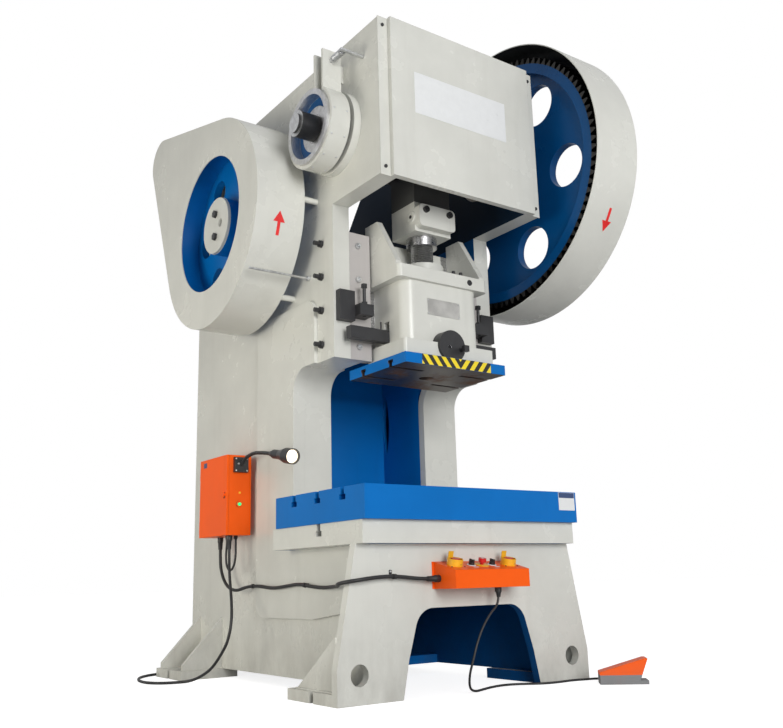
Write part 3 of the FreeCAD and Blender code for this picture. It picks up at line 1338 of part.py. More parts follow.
def pinion_shaft():
    span = (gear_near - S.pinion_over, gear_near + S.gear_wide + S.pinion_over)
    teeth = feature("Teeth", toothed(S.pinion_teeth, span, drive_back, drive_high, 180 - S.mesh_slope))
    return join(rod(S.drive_shaft, "x", (-drive_left, drive_right), drive_back, drive_high), teeth)


def shaft_bearings():
    bore = S.drive_shaft + S.journal_fit
    face = -S.side_half - S.housing_proud
    step, dish = face + S.housing_proud * 2 / 5, S.housing_dish
    housing = turned([(face, bore), (face, S.housing_radius - dish), (step, S.housing_radius - dish * 4 / 5),
                      (step, S.housing_radius), (-S.side_half, S.housing_radius),
                      (-S.side_half, S.housing_bore), (-side_in, S.housing_bore), (-side_in, bore)],
                     drive_back, drive_high)
    return both_sides(housing)


def flywheel():
    right = -wheel_left + S.wheel_wide
    rim_in = S.wheel_radius - S.wheel_rim
    web_right = -wheel_web_left + S.wheel_web
    corners = grooved_rim(right, S.wheel_radius, rim_in) + [
        (-wheel_left, S.wheel_radius), (-wheel_left, rim_in),
        (-wheel_web_left, rim_in - S.wheel_draft), (-wheel_web_left, S.wheel_hub),
        (-drive_left, S.wheel_hub), (-drive_left, S.drive_shaft),
        (web_right + S.wheel_hub_long, S.drive_shaft), (web_right + S.wheel_hub_long, S.wheel_hub),
        (web_right, S.wheel_hub), (web_right, rim_in - S.wheel_draft)]
    wheel = turned(corners, drive_back, drive_high)
    windows = []
    for index in range(6):
        back, high = on_ring(S.wheel_window_ring, 60 * index, drive_back, drive_high)
        windows.append(rod(S.wheel_window, "x", (-wheel_web_left, web_right), back, high))
    return cut(wheel, *windows)


def end_disc():
    face = -drive_left - S.disc_thick
    disc = rod(S.disc_radius, "x", (face, -drive_left), drive_back, drive_high)
    hole = rod(S.disc_hole, "x", (face, -drive_left), drive_back - S.disc_hole_out, drive_high)
    bolts = [hexagon("x", (face - S.disc_thick, face), drive_back, drive_high + side * S.disc_bolt_out,
                     S.disc_bolt) for side in (-1, 1)]
    return join(cut(disc, hole), *bolts)


node("big_gear", big_gear())
node("pinion_shaft", pinion_shaft())
node("shaft_bearings", shaft_bearings())
node("flywheel", flywheel())
node("shaft_end_disc", end_disc())


# --------------------------------------------------------------------------
# Front cover and guards
# --------------------------------------------------------------------------
def cover_screw_places():
    return [(side * cover_screw_side, high) for side in (-1, 1)
            for high in (S.cover_low + S.cover_screw_end, S.cover_high - S.cover_screw_end)]


def front_cover():
    """A pan of bent sheet, closed above and below, with a screwed flange on each side."""
    inner = cover_half - S.cover_sheet
    pan = box((-cover_half, cover_half), (-S.cover_proud, 0.0), (S.cover_low, S.cover_high))
    flange = box((-S.side_half, -cover_half), (-S.cover_sheet, 0.0), (S.cover_low, S.cover_high))
    hollow = box((-inner, inner), (S.cover_sheet - S.cover_proud, 0.0),
                 (S.cover_low + S.cover_sheet, S.cover_high - S.cover_sheet))
    holes = [rod(S.cover_shank, "y", (-S.cover_sheet, 0.0), x, z) for x, z in cover_screw_places()]
    return cut(join(pan, flange, mirror(flange)), hollow, *holes)


def guard_case(face, edge, near, near_radius, far, far_radius, opening):
    """A sheet case round two wheels: closed by a holed face, open at its other edge."""
    inward = S.guard_sheet if edge > face else -S.guard_sheet
    outside = feature("CaseOutside", belt_line((face, edge), near, near_radius, far, far_radius))
    inside = feature("CaseInside", belt_line(
        (face + inward, edge), near, near_radius - S.guard_sheet, far, far_radius - S.guard_sheet))
    hole = rod(opening, "x", (face, face + inward) if edge > face else (face + inward, face), *near)
    return cut(outside, inside, hole)


def case_seam(radius, near, near_radius, far, far_radius, side):
    """A place just inside the straight wall of a case, halfway between its two wheels."""
    gap = math.hypot(far[0] - near[0], far[1] - near[1])
    lean = math.atan2(far[1] - near[1], far[0] - near[0])
    out = lean + side * math.acos((near_radius - far_radius) / gap)
    reach = [near_radius - radius, far_radius - radius]
    return tuple((a + reach[0] * turn(out) + b + reach[1] * turn(out)) / 2
                 for a, b, turn in zip(near, far, (math.cos, math.sin)))


def flywheel_guard():
    near, far = (drive_back, drive_high), (motor_back, motor_high)
    case = guard_case(-fly_guard_left, -fly_guard_right, near, fly_guard_radius,
                      far, fly_guard_nose, S.fly_guard_open)
    ring = fly_guard_radius - S.stay_radius - S.guard_sheet + S.stay_bite
    stays = [rod(S.stay_radius, "x", (-wheel_left + S.wheel_wide + S.stay_gap, -S.side_half),
                 *on_ring(ring, degrees, *near)) for degrees in (115, 180, 235, 325)]
    return join(case, *stays)


def gear_guard():
    near, far = (S.press_axis, S.crank_high), (drive_back, drive_high)
    case = guard_case(gear_guard_far, gear_guard_near, near, gear_guard_radius,
                      far, gear_guard_nose, S.gear_guard_open)
    inset = S.stay_radius + S.guard_sheet - S.stay_bite
    places = [on_ring(gear_guard_radius - inset, degrees, *near) for degrees in (-70, 29)]
    places += [case_seam(inset, near, gear_guard_radius, far, gear_guard_nose, side)
               for side in (-1, 1)]
    stays = [rod(S.stay_radius, "x", (S.side_half, gear_near - S.stay_gap), *spot) for spot in places]
    return join(case, *stays)


# --------------------------------------------------------------------------
# Motor on the sloping back of the frame
# --------------------------------------------------------------------------
def length_of(a, b):
    return Size(math.hypot(a, b), "sqrt(%s ^ 2 + %s ^ 2)" % (text_of(a), text_of(b)))


slope_run = S.frame_rear - S.slope_start
slope_fall = S.frame_top - S.slope_foot
slope_long = length_of(slope_run, slope_fall)
SLOPE_TURN = Rotation(Vector(1, 0, 0), -math.degrees(math.atan2(slope_fall, slope_run)))
motor_back = S.slope_start + S.motor_along * slope_run / slope_long + S.motor_lift * slope_fall / slope_long
motor_high = S.frame_top - S.motor_along * slope_fall / slope_long + S.motor_lift * slope_run / slope_long


def on_slope(item):
    """Lay an item on the frame's slope: its Y runs down the slope and its Z off it."""
    return place(item, 0.0, S.slope_start, S.frame_top, turn=SLOPE_TURN)


def motor_plate():
    span = (S.plate_upper, S.plate_upper + S.plate_long)
    deck = box((-S.side_half, S.motor_plate_right), span, (0.0, S.motor_plate_thick))
    rib = box((S.motor_plate_right - S.motor_plate_thick, S.motor_plate_right), span,
              (0.0, S.motor_plate_thick + S.motor_rib))
    return on_slope(join(deck, rib))


def motor():
    at = (S.motor_along, S.motor_lift)
    left, right = -motor_left, S.motor_long - motor_left
    bell = S.motor_long / 8
    cowl = S.motor_long / 4
    stator = rod(S.motor_radius - S.fin_root, "x", (left + bell, right - cowl), *at)
    drive_end = cone(S.motor_radius * 0.7, S.motor_radius, "x", (left, left + bell), *at)
    fan_cowl = rod(S.motor_radius, "x", (right - cowl, right), *at)
    fins = []
    for index in range(int(S.fin_count)):
        fin = doc.addObject("Part::Box", "Fin")
        for prop, value in (("Length", right - cowl - left - bell), ("Width", S.guard_sheet),
                            ("Height", S.fin_root * 2.5)):
            setattr(fin, prop, float(value))
            bind(fin, prop, value)
        turn = Rotation(Vector(1, 0, 0), 360.0 * (index + 0.5) / S.fin_count)
        start = turn.multVec(Vector(0, -S.guard_sheet / 2, S.motor_radius - 2.25 * S.fin_root))
        fins.append(place(fin, left + bell, at[0] + start.y, at[1] + start.z, turn=turn))
    feet = [box((low, low + S.foot_rail), (at[0] - S.motor_foot, at[0] + S.motor_foot),
                (S.motor_plate_thick, S.motor_lift - S.motor_radius * 0.6))
            for low in (left + bell + S.foot_inset, right - cowl - S.foot_inset - S.foot_rail)]
    terminals = box((left + 2 * bell, left + 4 * bell), (at[0] - bell, at[0] + bell),
                    (at[1], at[1] + S.motor_radius + S.terminal_rise))
    shaft = rod(S.motor_shaft, "x", (-wheel_left, left), *at)
    return on_slope(join(stator, drive_end, fan_cowl, terminals, shaft, *feet, *fins))


def motor_pulley():
    right = -wheel_left + S.wheel_wide
    bore = S.motor_shaft + S.journal_fit
    return turned(grooved_rim(right, S.pulley_radius, bore) + [
        (-wheel_left, S.pulley_radius), (-wheel_left, bore)], motor_back, motor_high)


def v_belts():
    near, far = (drive_back, drive_high), (motor_back, motor_high)
    middle = S.wheel_wide / 2 - wheel_left
    belts = []
    for index in range(int(S.groove_count)):
        centre = middle + (index - (S.groove_count - 1) / 2) * S.groove_pitch
        span = (centre - S.belt_wide / 2, centre + S.belt_wide / 2)
        outside = feature("BeltOutside", belt_line(span, near, S.wheel_radius + 1, far, S.pulley_radius + 1))
        inside = feature("BeltInside", belt_line(span, near, S.wheel_radius + 1 - S.belt_thick,
                                                 far, S.pulley_radius + 1 - S.belt_thick))
        belts.append(cut(outside, inside))
    return group(*belts)


# --------------------------------------------------------------------------
# Brake and cam switch on the left end of the crankshaft
# --------------------------------------------------------------------------
def brake_drum():
    inner = S.drum_radius - S.drum_rim
    web_right = S.drum_web - drum_web_left
    return turned([
        (-drum_left, inner), (-drum_left, S.drum_radius),
        (S.drum_wide - drum_left, S.drum_radius), (S.drum_wide - drum_left, inner),
        (web_right, inner), (web_right, S.drum_hub), (S.drum_wide - drum_left, S.drum_hub),
        (S.drum_wide - drum_left, S.crank_tail), (-crank_left, S.crank_tail),
        (-crank_left, S.drum_hub), (-drum_web_left, S.drum_hub), (-drum_web_left, inner)],
        S.press_axis, S.crank_high)


def cam_switch():
    at = (S.press_axis, S.crank_high)
    step, end = S.cam_end - crank_left - S.cam_long, -crank_left - S.cam_long
    return join(rod(S.cam_radius, "x", (step, -crank_left), *at),
                rod(S.cam_radius - S.cam_step, "x", (end, step), *at))


def brake_band():
    """Lined band round the drum, parted at the top between two lugs."""
    at = (S.press_axis, S.crank_high)
    span = (-band_left, -band_right)
    clear = S.drum_radius + S.band_gap
    outer = clear + S.lining_thick + S.band_thick
    ring = cut(rod(outer, "x", span, *at),
               box(span, (lug_front + S.lug_thick, lug_rear), (S.crank_high, S.crank_high + outer)))
    lugs = [box(span, (front, front + S.lug_thick), (S.crank_high + S.drum_radius - S.drum_rim * 2, lug_high))
            for front in (lug_front, lug_rear)]
    bracket = box((-band_right, -S.side_half), (lug_rear, lug_rear + S.lug_thick),
                  (tension_high - S.drum_rim * 2, lug_high - S.lug_thick))
    holes = [rod(S.tension_radius + S.band_gap, "y", (front, front + S.lug_thick), tension_side, tension_high)
             for front in (lug_front, lug_rear)]
    return cut(join(ring, *lugs, bracket), rod(clear, "x", span, *at), *holes)


def brake_tension_rod():
    nuts = [hexagon("y", span, tension_side, tension_high, 3 * S.tension_radius) for span in (
        (lug_front - S.nut_wide, lug_front),
        (lug_rear + S.lug_thick, lug_rear + S.lug_thick + S.nut_wide))]
    return join(rod(S.tension_radius, "y", (tension_front, lug_rear + S.lug_thick + 2 * S.nut_wide),
                    tension_side, tension_high),
                rod(S.tension_radius, "x", (tension_side - S.nut_wide, -S.side_half),
                    tension_front, tension_high), *nuts)


# --------------------------------------------------------------------------
# Screws of the frame
# --------------------------------------------------------------------------
def frame_screws():
    """Cover screws, gib bolts, the gibs' adjusting screws and the guard's stud."""
    covers = [join(rod(S.cover_screw, "y", (-S.cover_sheet - S.head_tall, -S.cover_sheet), x, z),
                   rod(S.cover_shank, "y", (-S.cover_sheet, 0.0), x, z)) for x, z in cover_screw_places()]
    head = S.gib_head
    gibs = [join(cut(rod(head, "y", (S.guide_face - head, S.guide_face), x, z),
                     hexagon("y", (S.guide_face - head, S.guide_face - head / 2), x, z, head)),
                 rod(S.gib_shank, "y", (S.guide_face, S.guide_face + S.screw_bite), x, z))
            for x, z in gib_bolt_places()]
    adjusters = [join(rod(S.adjuster_radius, "x", (-S.side_half - S.adjuster_long,
                                                   S.screw_bite - S.side_half), S.adjuster_back, z),
                      hexagon("x", (-S.side_half - S.nut_wide, -S.side_half), S.adjuster_back, z,
                              3 * S.adjuster_radius)) for z in adjuster_heights()]
    stud = join(rod(S.stud_radius, "x", (-stud_end, -S.side_half), S.stud_back, S.stud_high),
                hexagon("x", (-S.side_half - S.nut_wide, -S.side_half), S.stud_back, S.stud_high,
                        4 * S.stud_radius))
    both = [mirror(item) for item in gibs + adjusters]
    return group(*covers, *gibs, *adjusters, *both, stud)


tension_side = -(band_left + band_right) / 2
node("front_cover", front_cover())
node("flywheel_guard", flywheel_guard())
node("gear_guard", gear_guard())
node("motor_plate", motor_plate())
node("motor", motor())
node("motor_pulley", motor_pulley())
node("v_belts", v_belts())
node("brake_drum", brake_drum())
node("cam_switch", cam_switch())
node("brake_band", brake_band())
node("brake_tension_rod", brake_tension_rod())
node("frame_screws", frame_screws())


# --------------------------------------------------------------------------
# Two-hand console on the leg plate
# --------------------------------------------------------------------------
console_fall = S.console_high - S.console_lip
console_run = S.leg_front - S.console_front
CONSOLE_TURN = Rotation(Vector(1, 0, 0), math.degrees(math.atan2(console_fall, console_run)))
console_middle = (S.console_front + S.leg_front) / 2
console_top = (S.console_lip + S.console_high) / 2


def on_console(item, x):
    """Stand an item, built on the origin, on the middle of the console's sloping top."""
    return place(item, x, console_middle, console_top, turn=CONSOLE_TURN)


def console_places():
    return ((-S.palm_side, S.stem_radius), (-S.knob_side, S.knob_stem), (0.0, S.stem_radius),
            (S.knob_side, S.knob_stem), (S.palm_side, S.stem_radius))


def console_box():
    wall = S.ebox_wall
    case = plate("x", (-S.console_half, S.console_half), [
        (S.console_front, S.console_low), (S.console_front, S.console_lip),
        (S.leg_front, S.console_high), (S.leg_front, S.console_low)])
    hollow = plate("x", (wall - S.console_half, S.console_half - wall), [
        (S.console_front + wall, S.console_low + wall), (S.console_front + wall, S.console_lip - wall),
        (S.leg_front - wall, S.console_high - wall - console_fall * 2 * wall / console_run),
        (S.leg_front - wall, S.console_low + wall)])
    holes = on_console(together(*[
        rod(radius + S.stem_gap, "z", (-2 * S.gland_radius, S.gland_radius), x, 0.0)
        for x, radius in console_places()]), 0.0)
    back_plate = box((-S.console_half - S.console_flange, S.console_half + S.console_flange),
                     (S.leg_front - wall, S.leg_front), (S.console_low, S.console_high))
    side_gland = rod(S.gland_radius, "x", (-S.console_half - S.gland_long, -S.console_half),
                     S.conduit_back, S.conduit_high)
    foot_gland = rod(S.gland_radius, "z", (S.console_low - S.gland_long, S.console_low),
                     S.foot_cord_side, 0.0)
    return join(cut(case, hollow, holes), back_plate, side_gland, foot_gland)


def button(cap_radius, cap_tall, cap_low):
    """A mushroom button on its stem, kept by a collar under the sheet."""
    return join(rod(cap_radius, "z", (cap_low, cap_low + cap_tall), 0.0, 0.0),
                rod(S.stem_radius, "z", (-S.stem_long, cap_low), 0.0, 0.0),
                rod(S.stem_radius * 1.5, "z", (-S.collar_low, S.collar_thick - S.collar_low), 0.0, 0.0))


def selector():
    knob = S.knob_radius
    return join(rod(knob, "z", (S.stem_gap, knob), 0.0, 0.0),
                box((-knob / 3, knob / 3), (-knob, knob), (knob, 2 * knob)),
                rod(S.knob_stem, "z", (-S.stem_long, S.stem_gap), 0.0, 0.0),
                rod(S.knob_stem * 1.6, "z", (-S.collar_low, S.collar_thick - S.collar_low), 0.0, 0.0))


def palm_guards():
    """Tabbed cups round the two palm buttons and the disc under the emergency button."""
    wall = S.guard_wall

    def cup(x):
        ring = cut(rod(S.guard_cup, "z", (0.0, S.guard_tall), 0.0, 0.0),
                   rod(S.guard_cup - wall, "z", (wall, S.guard_tall), 0.0, 0.0),
                   rod(S.stem_radius + S.stem_gap, "z", (0.0, wall), 0.0, 0.0))
        tab = box((-S.guard_tab_half, S.guard_tab_half), (S.guard_cup - wall, S.guard_cup),
                  (0.0, S.guard_tall + S.guard_tab))
        return on_console(join(ring, tab), x)

    disc = cut(rod(S.guard_cup - wall, "z", (0.0, wall), 0.0, 0.0),
               rod(S.stem_radius + S.stem_gap, "z", (0.0, wall), 0.0, 0.0))
    return group(cup(-S.palm_side), cup(S.palm_side), on_console(disc, 0.0))


node("console_box", console_box())
node("left_palm_button", on_console(button(S.palm_radius, S.palm_tall, S.palm_rise), -S.palm_side))
node("right_palm_button", on_console(button(S.palm_radius, S.palm_tall, S.palm_rise), S.palm_side))
node("palm_guards", palm_guards())
node("emergency_button", on_console(button(S.stop_cap, S.palm_tall, S.palm_rise), 0.0))
node("left_selector", on_console(selector(), -S.knob_side))
node("right_selector", on_console(selector(), S.knob_side))


# --------------------------------------------------------------------------
# Electrical box, its door and its lamp
# --------------------------------------------------------------------------
def knuckle_spans():
    """Two hinge places on the box door: (low, high) of each barrel."""
    inset = S.hinge_long
    return [(S.ebox_low + inset, S.ebox_low + 2 * inset), (S.ebox_high - 2 * inset, S.ebox_high - inset)]


door_inner = -ebox_left - S.door_gap
hinge_at = (door_inner - S.door_thick / 4, S.ebox_rear + S.hinge_radius + S.door_gap)


def electrical_box():
    wall = S.ebox_wall
    case = box((-ebox_left, -ebox_right), (S.ebox_front, S.ebox_rear), (S.ebox_low, S.ebox_high))
    hollow = box((-ebox_left, -ebox_right - wall), (S.ebox_front + wall, S.ebox_rear - wall),
                 (S.ebox_low + wall, S.ebox_high - wall))
    lip = box((-ebox_right, -S.side_half), (S.ebox_front + 4 * S.hinge_long / 3, S.ebox_rear - S.hinge_long),
              (S.ebox_low + S.hinge_long, S.ebox_high - S.hinge_long))
    button_hole = rod(S.stem_radius + S.stem_gap, "y", (S.ebox_front - 2 * wall, S.ebox_front + wall),
                      -start_side, S.start_high)
    collar = rod(S.stem_radius * 1.8, "y", (S.ebox_front - 2 * wall, S.ebox_front), -start_side, S.start_high)
    glands = [rod(S.gland_radius, "z", (S.ebox_low - S.gland_long, S.ebox_low), *at) for at in (
        (S.conduit_gland_in - ebox_left, S.ebox_rear - S.conduit_gland_fore),
        (S.supply_gland_in - ebox_left, S.ebox_front + S.supply_gland_back))]
    hinges = []
    for low, high in knuckle_spans():
        pin = rod(S.hinge_pin, "z", (low - S.hinge_long / 2, high), *hinge_at)
        barrel = rod(S.hinge_radius, "z", (low - S.hinge_long / 2, low - S.door_gap), *hinge_at)
        leaf = box((hinge_at[0] + S.hinge_pin, wall - ebox_left + S.hinge_radius),
                   (S.ebox_rear, S.ebox_rear + wall), (low - S.hinge_long / 2, low - S.door_gap))
        arm = box((hinge_at[0] + S.hinge_pin, hinge_at[0] + S.hinge_pin + wall),
                  (S.ebox_rear, hinge_at[1]), (low - S.hinge_long / 2, low - S.door_gap))
        hinges += [pin, barrel, leaf, arm]
    return join(cut(join(cut(case, hollow), collar), button_hole), lip, *glands, *hinges)


def box_door():
    wall = S.ebox_wall
    slab = box((door_inner - S.door_thick, door_inner), (S.ebox_front, S.ebox_rear + wall),
               (S.ebox_low, S.ebox_high))
    hollow = box((door_inner - S.door_thick + wall, door_inner), (S.ebox_front + wall, S.ebox_rear - wall),
                 (S.ebox_low + wall, S.ebox_high - wall))
    barrels = [rod(S.hinge_radius, "z", span, *hinge_at) for span in knuckle_spans()]
    clear = [rod(S.hinge_radius + S.door_gap, "z", (low - S.hinge_long / 2 - S.door_gap, low), *hinge_at)
             for low, high in knuckle_spans()]
    bores = [rod(S.hinge_pin + S.journal_fit, "z", span, *hinge_at) for span in knuckle_spans()]
    lock = rod(2 * S.stem_radius, "x", (door_inner - S.door_thick - S.stem_radius, door_inner - S.door_thick),
               S.ebox_front + 4 * S.stem_radius, (S.ebox_low + S.ebox_high) / 2)
    return cut(join(cut(slab, hollow), lock, *barrels), *clear, *bores)


def start_button():
    wall = S.ebox_wall
    face = S.ebox_front - 2 * wall
    at = (-start_side, S.start_high)
    return join(rod(S.stem_radius, "y", (face - S.stem_radius, S.ebox_front + S.stem_long), *at),
                rod(S.stem_radius * 1.5, "y",
                    (S.ebox_front + wall, S.ebox_front + wall + S.collar_thick), *at))


def run_arcs(points, name):
    """The straight runs of a route joined by tangent arcs, and its length."""
    edges = []
    start = points[0]
    radii = []
    for index in range(1, len(points) - 1):
        before, here, after = points[index - 1], points[index], points[index + 1]
        inward, onward = (here - before), (after - here)
        share = 0.45 * min(inward.Length, onward.Length)
        turn = inward.getAngle(onward)
        radii.append(share / math.tan(turn / 2))
        inward.normalize()
        onward.normalize()
        enter, leave = here - inward * share, here + onward * share
        bisector = (onward - inward).normalize()
        centre = here + bisector * (radii[-1] / math.cos(turn / 2))
        middle = centre - bisector * radii[-1]
        edges.append(Part.LineSegment(start, enter).toShape())
        edges.append(Part.Arc(enter, middle, leave).toShape())
        start = leave
    edges.append(Part.LineSegment(start, points[-1]).toShape())
    wire = Part.Wire(edges)
    print("%s: least radius %.0f mm, length %.0f mm" % (name, min(radii), wire.Length))
    return wire


def tube(wire, radius, name):
    """A round tube along a wire; its volume is compared with section times length."""
    first = wire.Edges[0]
    start = first.valueAt(first.FirstParameter)
    circle = Part.Wire([Part.Circle(start, first.tangentAt(first.FirstParameter), float(radius)).toShape()])
    solid = wire.makePipeShell([circle], True, False)
    share = solid.Volume / (math.pi * radius ** 2 * wire.Length)
    print("%s: volume is %.3f of section times length" % (name, share))
    return feature(name, solid)


def work_lamp():
    """Magnetic base on the box, bendable neck and a flared head."""
    base_at = (lamp_side, S.lamp_high)
    base = box((-base_at[0] - S.lamp_base, S.lamp_base - base_at[0]),
               (S.ebox_front - S.lamp_base / 2, S.ebox_front),
               (base_at[1] - S.lamp_base, base_at[1] + S.lamp_base))
    points = [Vector(-float(base_at[0]), S.ebox_front - S.neck_reach * back,
                     S.lamp_high + S.neck_reach * rise) for back, rise in LAMP_NECK]
    neck = tube(run_arcs(points, "lamp neck"), S.neck_radius, "Neck")
    aim = (points[-1] - points[-2]).normalize()
    small, large = S.lamp_head / 2, S.lamp_head
    head = join(cone(small * 0.7, small, "z", (0.0, large), 0.0, 0.0),
                rod(small * 1.2, "z", (large, 2.6 * large), 0.0, 0.0),
                cone(small * 1.2, large, "z", (2.6 * large, 4.4 * large), 0.0, 0.0),
                rod(large, "z", (4.4 * large, 6 * large), 0.0, 0.0))
    dish = cone(large / 2, large - S.guard_wall, "z", (4.6 * large, 6 * large), 0.0, 0.0)
    aimed = place(cut(head, dish), *points[-1], turn=Rotation(Vector(0, 0, 1), aim))
    return join(base, neck, aimed)


# Shares of the neck's reach: distance in front of the box, rise above the lamp's base.
LAMP_NECK = ((0.055, 0.0), (0.188, 0.091), (0.455, 0.133), (0.788, 0.091), (1.0, 0.052))
# Routes of the cords, chosen by hand; each starts at its gland.
CONDUIT = (
    (-560, 1420, 687), (-560, 1420, 620), (-562, 1406, 538), (-558, 1350, 462), (-548, 1262, 432),
    (-530, 1170, 455), (-521, 1060, 458), (-520, 930, 444), (-521, 800, 452), (-520, 669, 463),
    (-521, 560, 450), (-522, 450, 443), (-535, 345, 448), (-566, 262, 450), (-610, 195, 452),
    (-648, 135, 458), (-654, 74, 465), (-612, 34, 472), (-548, 40, 479), (-470, 44, 484),
    (-390, 50, 481), (-300, 40, 470), (-226, 40, 470))
SUPPLY = (
    (-600, 1230, 687), (-600, 1230, 600), (-625, 1168, 500), (-655, 1080, 395), (-680, 1022, 300),
    (-690, 1038, 210), (-700, 1092, 145), (-700, 1190, 80), (-704, 1290, 40), (-730, 1370, 12),
    (-785, 1418, 7), (-850, 1445, 7), (-889, 1512, 7), (-893, 1600, 7), (-872, 1700, 7),
    (-825, 1810, 7), (-745, 1895, 7), (-640, 1935, 7), (-540, 1958, 7), (-410.32, 1993.01, 7))
FOOT_CORD = (
    (84, 0, 408), (84, 0, 360), (34, 0, 322), (-14, 0, 266), (-50, 0, 200), (-72, 0, 140),
    (-86, 14, 78), (-70, 36, 22), (-22, 58, 5), (45, 88, 5), (130, 128, 5), (225, 148, 5),
    (305, 116, 5), (368, 58, 5), (455, 44, 5), (551, 52, 5), (611, 35, 5), (640, 22, 6), (654, -4, 8),
    (650.94, -32.42, 10))

node("electrical_box", electrical_box())
node("box_door", box_door())
node("start_button", start_button())
node("work_lamp", work_lamp())


# --------------------------------------------------------------------------
# Foot pedal
# --------------------------------------------------------------------------
PEDAL_TURN = Rotation(Vector(0, 0, 1), float(S.pedal_turn))


def at_pedal(item):
    """Lay an item, built round the origin, at the pedal's place on the floor."""
    return place(item, S.pedal_side, S.pedal_fore, 0.0, turn=PEDAL_TURN)


def pedal_housing():
    half, side, wall = S.pedal_long / 2, S.pedal_wide / 2, S.pedal_wall
    base = box((-half, half), (-side, side), (0.0, S.pedal_base))
    hood = plate("y", (-side, side), [
        (-half, S.pedal_base), (-half, S.hood_low), (half - S.hood_inset, S.hood_high),
        (half, S.hood_high), (half, S.hood_high - wall), (half - 3 * S.hood_inset, S.pedal_base)])
    hollow = plate("y", (wall - side, side - wall), [
        (wall - half, S.pedal_base), (wall - half, S.hood_low - wall),
        (half - S.hood_inset, S.hood_high - wall), (half, S.hood_high - wall), (half, S.pedal_base)])
    pin = rod(S.hinge_pin, "y", (-side + wall / 2, side - wall / 2), pedal_pivot, S.pivot_high)
    gland = rod(S.gland_radius / 2, "y", (side, side + S.gland_long), S.pedal_gland - half, S.foot_cord_high)
    return at_pedal(join(base, cut(hood, hollow), pin, gland))


def pedal_treadle():
    half, side, wall = S.pedal_long / 2, S.pedal_wide / 2, S.pedal_wall
    width = (2 * wall - side, side - 2 * wall)
    tread = doc.addObject("Part::Box", "Tread")
    long = S.pedal_long - S.pivot_inset - S.hood_inset
    tread.Length, tread.Width, tread.Height = float(long), float(width[1] - width[0]), float(wall)
    bind(tread, "Length", long)
    bind(tread, "Width", width[1] - width[0])
    bind(tread, "Height", wall)
    place(tread, pedal_pivot, width[0], S.pivot_high, turn=Rotation(Vector(0, 1, 0), -float(S.tread_rise)))
    barrel = rod(S.hinge_radius, "y", width, pedal_pivot, S.pivot_high)
    bore = rod(S.hinge_pin + S.journal_fit, "y", width, pedal_pivot, S.pivot_high)
    return at_pedal(cut(join(tread, barrel), bore))


pedal_pivot = S.pivot_inset - S.pedal_long / 2
node("pedal_housing", pedal_housing())
node("pedal_treadle", pedal_treadle())


# --------------------------------------------------------------------------
# Cords, the coil of the supply cord and its plug
# --------------------------------------------------------------------------
def biarc(start, along, end, onward):
    """Two tangent arcs from one point and direction to another."""
    reach = end - start
    both = along + onward
    a = 2 * (along.dot(onward) - 1)
    b = -2 * reach.dot(both)
    c = reach.dot(reach)
    if abs(a) < 1e-9:
        d = -c / b
    else:
        d = (-b - math.sqrt(b * b - 4 * a * c)) / (2 * a)
    joint = (start + along * d + end - onward * d) * 0.5
    return [arc_from(start, along, joint), arc_from(end, onward * -1, joint)]


def arc_from(start, along, end):
    """The arc that leaves a point in a direction and ends at another point."""
    chord = end - start
    side = along - chord * (along.dot(chord) / chord.dot(chord))
    if side.Length < 1e-7:
        return Part.LineSegment(start, end).toShape()
    bulge = chord.Length / 2 * math.tan(along.getAngle(chord) / 2)
    middle = (start + end) * 0.5 + side.normalize() * bulge
    return Part.Arc(start, middle, end).toShape()


def coil_frame(turns):
    """Place and direction on the coil after a number of turns: in, up and out again."""
    pitch = S.cord_pitch
    half_turn, last = S.coil_turns, 2 * S.coil_turns + 0.5
    inner = S.coil_middle - pitch * S.coil_turns / 2
    dip = pitch / 2 / math.pi
    if turns <= half_turn:
        radius, rate = inner + pitch * (half_turn - turns), -pitch
        rise, climb = 0.0, 0.0
    elif turns >= half_turn + 0.5:
        radius, rate = inner + pitch * (turns - half_turn - 0.5), pitch
        rise, climb = float(pitch), 0.0
    else:
        part = (turns - half_turn) / 0.5
        radius, rate = inner - dip * math.sin(math.pi * part), -pitch * math.cos(math.pi * part)
        rise = pitch * (1 - math.cos(math.pi * part)) / 2
        climb = pitch * math.pi * math.sin(math.pi * part)
    angle = math.radians(S.coil_start) + 2 * math.pi * turns
    out = Vector(math.cos(angle), math.sin(angle), 0)
    round_way = Vector(-math.sin(angle), math.cos(angle), 0)
    spot = Vector(float(S.coil_side), float(S.coil_back), S.supply_radius + rise) + out * radius
    heading = (out * rate + round_way * (2 * math.pi * radius) + Vector(0, 0, 1) * climb).normalize()
    return spot, heading, last


def coil_wire():
    """The coil's centre line, from its straight start to its straight end at the plug."""
    start, heading, last = coil_frame(0)
    edges = [Part.LineSegment(start - heading * (2 * S.supply_radius), start).toShape()]
    steps = int(round(4 * last))
    for step in range(steps):
        here, along, last = coil_frame(step / 4)
        there, onward, last = coil_frame((step + 1) / 4)
        first, second = biarc(here, along, there, onward)
        edges += [first, second]
    end, heading, last = coil_frame(last)
    rest = end + heading * S.tail_long + Vector(0, 0, S.plug_radius - end.z)
    edges += biarc(end, heading, rest, heading)
    edges.append(Part.LineSegment(rest, rest + heading * (2 * S.supply_radius)).toShape())
    return Part.Wire(Part.__sortEdges__(edges)), rest + heading * (2 * S.supply_radius), heading


def least_gap(wire, radius):
    """Least gap between stretches of the coil that are over a half turn apart."""
    points = wire.discretize(Distance=4.0)
    apart = int(math.pi * float(S.coil_middle) * 0.6 / 4.0)
    nearest = min((points[i] - points[j]).Length
                  for i in range(0, len(points), 2) for j in range(i + apart, len(points)))
    return nearest - 2 * radius


